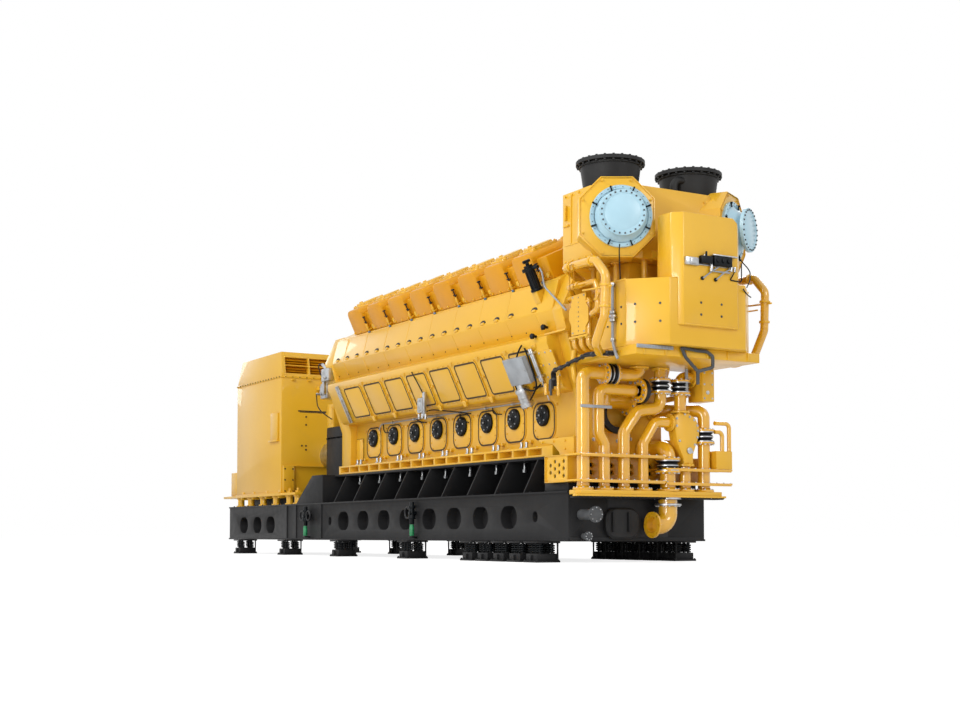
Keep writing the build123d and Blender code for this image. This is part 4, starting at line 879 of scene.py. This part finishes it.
# loops and filters beside the cooler
filters = {"x": (5.06, 5.205, 5.35), "y": -0.9}
loopTrim, dots = shapes(2)
for x, y, z, out, radius in (
    (5.36, -1.16, 3.41, ahead, 0.05), (5.78, -1.16, 3.41, ahead, 0.05), (6.045, -1.16, 3.1, (0.04, 0, 1), 0.05),
    (6.034, -1.16, 2.86, (0.04, 0, 1), 0.05), (5.3, -1.01, 3.22, ahead, 0.034), (5.69, -1.01, 3.0, up, 0.034),
):
    out = Vector(out).normalized() * 0.014
    loopTrim.bar(Vector((x, y, z)) - out, Vector((x, y, z)) + out, radius + 0.014, 20, 0.003)
loopTrim.slab([(-0.03, -0.15), (0.03, -0.15), (0.045, 0), (0.03, 0.15), (-0.03, 0.15), (-0.045, 0)], 0.014,
              facing((5.47, -1.215, 3.26), ahead, left), edge=0.003, hollow=0.018)
loopTrim.bars([
    ((5.6, -1.16, 3.1), (6.16, -1.16, 3.07), 0.012, 10, 0.002), ((5.67, -1.01, 3.0), (5.92, -1.16, 3.02), 0.01, 8),
    ((5.47, -1.18, 3.36), (5.47, -1.215, 3.36), 0.012, 8), ((5.47, -1.04, 3.2), (5.47, -1.215, 3.15), 0.012, 8),
])
for x in filters["x"]:
    for z in (2.62, 3.03):
        loopTrim.post(x, filters["y"], z - 0.012, z + 0.012, 0.05, 20, 0.003)
    loopTrim.turned([(0.036, 0), (0.03, 0.014), (0, 0.018)], (x, filters["y"], 3.06), up, 20)
loopTrim.box((5.01, -0.955, 2.625), (5.4, -0.945, 2.65), 0.002)
loopTrim.mirrored().done("loopTrim")
dots.bolts([(5.205, -0.948, 2.704 + 0.056 * i) for i in range(8)], left, 0.006, False)
dots.bolts([(x, -0.948, z) for x in (5.09, 5.32) for z in (2.69, 3.11)], left, 0.009)
dots.mirrored().done("filterScrews", steel)
tubing("legPipes", enginePaint, 0.036, bothSides([
    [(5.06, -0.905, 2.49), (5.06, -0.93, 2.36), (5.1, -0.94, 2.24), (5.1, -0.93, 2.16), (5.02, -0.8, 2.05),
     (4.8, -0.62, 2.0)],
]), bend=0.08)
print("free end made")

# turbocharger inlets, hood and exhaust outlets
toe = radians(30)
inletOut, inletAcross = Vector((cos(toe), -sin(toe), 0)), Vector((sin(toe), cos(toe), 0))
inlet = {"ring": Vector((5.864, -0.813, 3.935)), "rim": 0.04, "disc": 0.229, "clips": 0.333}
inletParts, inletBolts, inletClips = shapes(3)
for profile in (
    [(0.298, 0.034), (0.31, 0.034), (0.312, 0.04), (0.35, 0.04), (0.356, 0.034)],
    [(0.215, 0.224), (0.219, 0.229), (0.258, 0.229), (0.262, 0.224)], [(0, 0.229), (0.19, 0.229), (0.2, 0.224)],
):
    inletParts.turned(profile, inlet["ring"], inletOut, 64)
rimPlace = inlet["ring"] + inletOut * inlet["rim"]
for point in around(rimPlace, inletOut, inlet["clips"], 8, 0.35):
    spoke = (point - rimPlace).normalized()
    inletClips.box((-0.035, -0.008, 0), (0.03, 0.008, 0.016), 0.002, facing(point, spoke, inletOut))
    head = point + inletOut * 0.01 + spoke * 0.018
    inletClips.bar(head, head + inletOut * 0.016, 0.011, 8)
inletBolts.bolts(around(inlet["ring"] + inletOut * inlet["disc"], inletOut, 0.238, 24, 0.1), inletOut, 0.011, False)
inletBolts.bolts(around(rimPlace, inletOut, inlet["clips"], 24, 0.2), inletOut, 0.006, False)
inletParts.mirrored().done("inletRims", inletPaint)
inletBolts.mirrored().done("inletBolts", capPaint)
inletClips.mirrored().done("inletClips", valvePaint)

hood = {"front": 5.83, "side": -1.0, "skin": -0.998, "proud": -1.008}
hoodTrim, hoodFeet = shapes(2)
hoodTrim.boxes([
    ((5.01, hood["proud"], 3.72), (5.46, hood["skin"], 3.735), 0.002),
    ((5.13, hood["proud"], 3.74), (5.142, hood["skin"], 4.32), 0.002),
    ((5.02, -1.03, 4.02), (5.055, hood["side"], 4.2), 0.006), ((4.99, -1.022, 3.95), (5.1, hood["skin"], 3.97), 0.004),
])
nosePlace = facing((5.842, -0.851, 3.935), inletAcross, inletOut)
noseOutline = [(0.418, -0.206), (0.418, 0.206), (0.178, 0.446), (-0.178, 0.446), (-0.418, 0.206), (-0.418, -0.206),
               (-0.178, -0.446), (0.178, -0.446)]
hoodTrim.slab(noseOutline, 0.008, nosePlace, edge=0.002, hollow=0.03)
hoodTrim.bolts([nosePlace @ Vector((x * 0.93, y * 0.93, 0.008)) for x, y in noseOutline], inletOut, 0.011)
for y in (-0.36, -0.15):
    hoodTrim.box((hood["front"], y, 3.52), (hood["front"] + 0.012, y + 0.16, 3.6), 0.003)
hoodTrim.bolts([(hood["front"], -0.42, z) for z in (3.66, 3.85, 4.05, 4.25)], ahead, 0.012)
hoodTrim.bolts([(x, hood["side"], 4.31) for x in (5.02, 5.16, 5.3)], left, 0.012)
hoodTrim.bolts([(x, hood["side"], 3.53) for x in (5.02, 5.16, 5.3, 5.44)], left, 0.012)
hoodTrim.mirrored().done("hoodTrim")
for x in (5.05, 5.3, 5.5):
    hoodFeet.post(x, -0.62, 3.19, 3.5, 0.03)
    hoodFeet.post(x, -0.62, 3.47, 3.5, 0.06, 12, 0.003)
for x in (5.7, 6.0):
    hoodFeet.post(x, -0.36, 3.19, 3.5, 0.035)
    hoodFeet.box((x - 0.07, -0.43, 3.19), (x + 0.07, -0.29, 3.215), 0.004)
hoodFeet.mirrored().done("hoodFeet")

exhaust = {"axis": (5.341, -0.581, 0), "top": 4.704, "under": 4.662, "bolts": 0.384}
exhaustBolts = Shape()
for x, y, z in around(exhaust["axis"], up, exhaust["bolts"], 24):
    exhaustBolts.post(x, y, exhaust["top"], exhaust["top"] + 0.012, 0.017, 6, 0, 0.015)
    exhaustBolts.post(x, y, exhaust["under"], exhaust["under"] - 0.02, 0.017, 6)
for profile in ([(0.335, 4.63), (0.372, 4.63), (0.374, 4.634), (0.374, 4.65), (0.36, 4.662)],
                [(0.322, 4.345), (0.345, 4.345), (0.345, 4.36), (0.323, 4.372)]):
    exhaustBolts.turned(profile, exhaust["axis"], up, 64)
exhaustBolts.mirrored().done("exhaustBolts", exhaustPaint)
tubing("inletSensors", valvePaint, 0.007, [
    [(5.93, -0.88, 3.6), (5.99, -0.93, 3.5), (5.97, -0.91, 3.4), (5.94, -0.88, 3.19)],
    [(5.93, 0.88, 3.6), (6.05, 0.93, 3.45), (6.2, 0.8, 3.3), (6.3, 0.66, 3.19)],
], bend=0.06)
print("hood made")

# charge-air cooler: screws, seams, instruments and conduits
cooler = {"front": 6.457, "side": 0.895, "corner": Vector((6.232, -0.72, 2.8))}
coolerScrews, coolerTrim = shapes(2)
coolerScrews.bolts([(cooler["front"], y, z) for y in (-0.144, 0.15) for z in (2.79, 2.925)], ahead, 0.01)
for y, out in ((-cooler["side"], left), (cooler["side"], right)):
    coolerScrews.bolts([(x, y, z) for x in (5.72, 5.98) for z in (2.69, 2.88)], out, 0.01)
coolerScrews.bolts([cooler["corner"] + Vector((u, u, v)) for u in (-0.099, 0.099) for v in (-0.1, 0.1)], (1, -1, 0), 0.01)
coolerScrews.done("coolerScrews", capPaint)
for low, high in ((3.174, 3.196), (2.436, 2.458)):
    coolerTrim.box((5.57, -cooler["side"] - 0.004, low), (6.06, -cooler["side"] + 0.01, high), 0.003)
coolerTrim.box((6.13, -0.497, 3.19), (6.14, -0.487, 3.9), 0.002)
coolerTrim.mirrored()
coolerTrim.box((cooler["front"] - 0.002, -0.37, 2.664), (cooler["front"] + 0.004, 0.37, 2.68), 0.002)
coolerTrim.boxes([((6.2, y, 2.334), (6.262, y + 0.02, 2.436), 0.002) for y in (-0.8, -0.5, -0.2, 0.1, 0.4, 0.7)])
for y, out in ((-0.89, left), (0.89, right)):
    coolerTrim.bolts([(x, y, 2.385) for x in (5.2, 5.45, 5.7, 5.95)], out, 0.013)
coolerTrim.done("coolerTrim")

gaugeSteel, gaugeBlack, conduitJoints = shapes(3)
gaugeSteel.boxes([
    ((6.457, -0.38, 3.33), (6.5, -0.2, 3.42), 0.008), ((6.5, -0.33, 3.345), (6.515, -0.25, 3.405), 0.004),
    ((6.457, -0.21, 3.345), (6.47, 0.36, 3.365), 0.002), ((6.47, -0.02, 3.46), (6.53, 0.34, 3.475), 0.003),
])
gaugeSteel.post(6.475, -0.1, 3.37, 3.47, 0.018, 10, 0.003)
for y in (0.26, 0.31):
    gaugeSteel.post(6.5, y, 3.3, 3.36, 0.016, 10, 0.002)
gaugeSteel.post(6.49, -0.02, 3.28, 3.36, 0.018, 10, 0.002)
gaugeSteel.done("gaugeBracket", steel)
gaugeBlack.box((6.465, -0.18, 3.36), (6.52, -0.02, 3.45), 0.008)
gaugeBlack.box((6.462, 0.0, 3.35), (6.525, 0.26, 3.46), 0.01)
gaugeBlack.post(6.5, -0.1, 3.45, 3.5, 0.012, 10, 0.002)
gaugeBlack.bars([((6.457, y, 3.2), (6.475, y, 3.2), 0.022, 14, 0.003) for y in (-0.13, 0.06)])
gaugeBlack.bars([((6.525, y, 3.41), (6.54, y, 3.41), 0.028, 14, 0.003) for y in (0.05, 0.13, 0.21)])
gaugeBlack.done("gaugeBoxes", valvePaint)
tubing("gaugeArms", greyPaint, 0.009, [
    [(6.48, -0.13, 3.2), (6.485, -0.02, 3.28), (6.485, 0.1, 3.35)],
    [(6.48, 0.06, 3.2), (6.485, 0.16, 3.28), (6.485, 0.27, 3.34)],
    [(6.48, -0.02, 3.29), (6.485, 0.25, 3.29)],
], bend=0.02)
tubing("gaugeCables", valvePaint, 0.007, [
    [(6.5, 0.31, 3.31), (6.475, 0.29, 3.25), (6.464, 0.27, 3.215), (6.464, 0.44, 3.205), (6.464, 0.44, 3.42)],
    [(6.43, 0.492, 3.14), (6.41, 0.55, 3.1), (6.36, 0.62, 3.09), (6.3, 0.72, 3.08)],
], bend=0.03)
tubing("coolerConduit", greyPaint, 0.017, [
    [(5.86, -0.93, 3.16), (5.86, -0.93, 2.5), (5.93, -0.95, 2.38), (5.98, -0.95, 2.3)],
], bend=0.05)
conduitJoints.turned(
    [(0.018, -0.07), (0.034, -0.06), (0.034, -0.035), (0.026, -0.03), (0.05, -0.01), (0.05, 0.01), (0.026, 0.03),
     (0.034, 0.035), (0.034, 0.06), (0.018, 0.07)], (5.86, -0.93, 2.79), up, 20,
)
for z in (2.52, 3.15):
    conduitJoints.post(5.86, -0.93, z - 0.02, z + 0.02, 0.026, 8, 0.003)
    conduitJoints.bar((5.86, -0.93, z), (5.86, -0.895, z), 0.012, 8)
conduitJoints.done("conduitJoints", steel)
print("cooler made")

# alternator
alternator = {"rear": -5.875, "front": -3.757, "half": 0.98, "seam": 3.046}
panels, rearPanels, panelScrews, slot = shapes(4)
rear, front, half, seam = (alternator[key] for key in ("rear", "front", "half", "seam"))
skin = -half + 0.002
panels.boxes([
    ((rear - 0.006, -half - 0.012, 3.03), (front + 0.006, skin, 3.062), 0.003),
    ((front - 0.002, -half, 3.03), (front + 0.012, half, 3.062), 0.003),
    ((-4.182, -half - 0.03, 1.962), (-3.864, skin, 2.433), 0.008), ((-4.24, -half - 0.05, 1.935), (-3.85, skin, 1.962), 0.004),
    ((front - 0.002, -0.96, 1.04), (front + 0.06, -0.757, 1.505), 0.006),
    ((front - 0.002, -0.96, 1.505), (front + 0.05, 0.13, 1.52), 0.003),
    ((front - 0.002, 0.2, 1.08), (front + 0.03, 0.9, 2.3), 0.006),
    ((front, -0.34, 2.83), (front + 0.12, -0.18, 2.9), 0.008), ((-5.86, -half - 0.03, 1.04), (-3.78, skin, 1.06), 0.003),
])
for y in (-0.765, -0.467, -0.165):
    panels.box((front, y - 0.03, 2.985), (front + 0.03, y + 0.03, 3.02), 0.004)
panels.bar((front, -0.2, 2.93), (front + 0.16, -0.2, 2.93), 0.03, 12, 0.004)
panels.done("alternatorPanels")
for x in (-5.7, -4.75):
    rearPanels.box((x, half - 0.002, 1.3), (x + 0.8, half + 0.012, 2.8), 0.006)
rearPanels.box((rear - 0.012, -0.8, 1.62), (rear + 0.002, 0.8, 2.85), 0.006)
rearPanels.box((-6.312, -0.8, 1.12), (-6.298, 0.8, 1.42), 0.006)
rearPanels.done("alternatorDoors")
across = [rear + 0.06 + i * 0.125 for i in range(17)]
for feet, out, radius, washer in (
    ([(x, -half - 0.012, seam) for x in across], left, 0.011, False), ([(x, half, seam) for x in across], right, 0.011, False),
    ([(front + 0.012, -0.91 + i * 0.13, seam) for i in range(15)], ahead, 0.009, False),
    ([(front, y, z) for y, z in ((-0.523, 2.369), (-0.523, 2.23), (-0.523, 1.867), (-0.6, 1.867), (-0.523, 1.8),
                                 (0.121, 1.56))], ahead, 0.012, True),
    ([(front + 0.06, y, z) for y in (-0.93, -0.787) for z in (1.08, 1.27, 1.46)], ahead, 0.01, True),
    ([(front + 0.03, y, z) for y in (0.24, 0.86) for z in (1.12, 1.5, 1.88, 2.26)], ahead, 0.011, True),
    ([(x, half + 0.012, z) for x in (-5.66, -4.94, -4.71, -3.99) for z in (1.36, 2.05, 2.74)], right, 0.012, True),
    ([(rear - 0.012, y, z) for y in (-0.75, 0, 0.75) for z in (1.68, 2.79)], back, 0.012, True),
):
    panelScrews.bolts(feet, out, radius, washer)
panelScrews.done("alternatorScrews", gasket)
# dark strips set in the front face stand in for the shade inside the slot: painted shade
slot.box((front - 0.01, -0.672, 2.455), (front + 0.002, -0.146, 2.478), 0.002)
slot.box((front - 0.01, -0.64, 2.44), (front + 0.001, -0.16, 2.452), 0.001)
slot.done("alternatorSlotShade", rubber, "valve_black")
louvres, railParts, filler = shapes(3)
tilt = Matrix.Rotation(radians(28), 4, "Y")
for z in [row + k * 0.04 for row in (3.134, 3.28) for k in range(3)]:
    for y in (-0.6795, -0.2265, 0.2265, 0.6795):
        louvres.box((-0.05, -0.212, -0.003), (0.05, 0.212, 0.003), 0.001, Matrix.Translation((front - 0.13, y, z)) @ tilt)
# the louvres take the darkened copy of the engine yellow: painted shade inside the hood opening
louvres.done("alternatorLouvres", shadeDarkenedPaint)
for x in (-5.8, -5.3, -4.7, -4.1, -3.5, -3.15):
    for low, high, *size in ((1.04, 1.075, 0.05, 6), (1.075, 1.12, 0.024, 10, 0.003), (0.844, 0.866, 0.085, 20, 0.003),
                             (0.975, 1.0, 0.078, 20, 0.003)):
        railParts.post(x, -0.92, low, high, *size)
for x in (-5.55, -5.02, -4.4, -3.8):
    railParts.box((x - 0.05, -0.99, 1.04), (x + 0.05, -0.955, 1.1), 0.005)
    railParts.box((x - 0.012, -1.015, 0.96), (x + 0.012, -0.78, 1.0), 0.002)
railParts.mirrored().done("railParts")
filler.box((-5.86, -0.7, 0.8), (-3.2, 0.7, 0.985), 0.004)
filler.done("alternatorBedPlate", basePaint)
print("alternator made")

# floor, light and camera
stage = {"floorSize": 160.0, "floor": 0.9, "glow": 1.35, "shadow": 0.4, "sky": 0.58}
floorShape = bmesh.new()
bmesh.ops.create_grid(floorShape, x_segments=1, y_segments=1, size=stage["floorSize"])
floorMesh = bpy.data.meshes.new("floor")
floorShape.to_mesh(floorMesh)
floorShape.free()
floor = bpy.data.objects.new("floor", floorMesh)
bpy.context.scene.collection.objects.link(floor)
floorFinish = Finish("floorFinish", None, Roughness=0.9, Specular_IOR_Level=0.0)
floorFinish.shader.inputs["Base Color"].default_value = (stage["floor"], stage["floor"], stage["floor"], 1)
seen = floorFinish.add("ShaderNodeLightPath", {}, {}, "Is Camera Ray")
glow = floorFinish.add("ShaderNodeEmission", {}, {"Color": (1, 1, 1, 1), "Strength": stage["glow"]})
lit = Link(floorFinish.tree, floorFinish.shader.outputs[0])
mixed = floorFinish.add("ShaderNodeMixShader", {}, {0: seen * (1 - stage["shadow"]), 1: lit, 2: glow})
floorFinish.tree.links.new(mixed.socket, floorFinish.tree.nodes["Material Output"].inputs["Surface"])
floorMesh.materials.append(floorFinish.material)

world = bpy.data.worlds.new("studio")
world.use_nodes = True
bpy.context.scene.world = world
tree = world.node_tree
path = tree.nodes.new("ShaderNodeLightPath").outputs
shown = Link(tree, path["Is Camera Ray"])
for ray in ("Is Glossy Ray", "Is Transmission Ray"):
    shown = shown.maths("MAXIMUM", shown, Link(tree, path[ray]))
strength = stage["sky"] + shown * (1 - stage["sky"])
background = tree.nodes["Background"].inputs
background["Color"].default_value = (1, 1, 1, 1)
tree.links.new(strength.socket, background["Strength"])


def lamp(name, place, aim, width, height, power):
    light = bpy.data.lights.new(name, "AREA")
    light.shape = "RECTANGLE"
    light.size = width
    light.size_y = height
    light.energy = power
    made = bpy.data.objects.new(name, light)
    made.location = place
    made.rotation_mode = "QUATERNION"
    made.rotation_quaternion = (Vector(aim) - Vector(place)).to_track_quat("-Z", "Y")
    bpy.context.scene.collection.objects.link(made)


lamp("keyLight", (4, -16, 14), (0, 0, 2), 8, 8, 1750)
lamp("stripLight", (13.3, -14.4, 3.4), (5, 0, 2.4), 1.4, 7, 640)
lamp("backLight", (-26, 1, 8), (0, 0, 3), 5, 5, 260)
lamp("endLight", (22, 2, 10), (4, 0, 2.5), 7, 7, 800)
lamp("rimLight", (-10, 14, 12), (0, 0, 2), 8, 8, 1200)

view = {"place": (18.757, -10.193, 0.3234), "yaw": 30.288, "pitch": 2.44, "lens": 52.914, "shift": 0.12}
cameraData = bpy.data.cameras.new("camera")
cameraData.sensor_width = 36
cameraData.lens = view["lens"]
cameraData.shift_y = view["shift"]
camera = bpy.data.objects.new("camera", cameraData)
camera.location = view["place"]
yaw, pitch = radians(view["yaw"]), radians(view["pitch"])
aim = Vector((-cos(yaw) * cos(pitch), sin(yaw) * cos(pitch), sin(pitch)))
camera.rotation_mode = "QUATERNION"
camera.rotation_quaternion = aim.to_track_quat("-Z", "Y")
bpy.context.scene.collection.objects.link(camera)
bpy.context.scene.camera = camera
bpy.context.scene.view_settings.view_transform = "Standard"

print("scene ready")
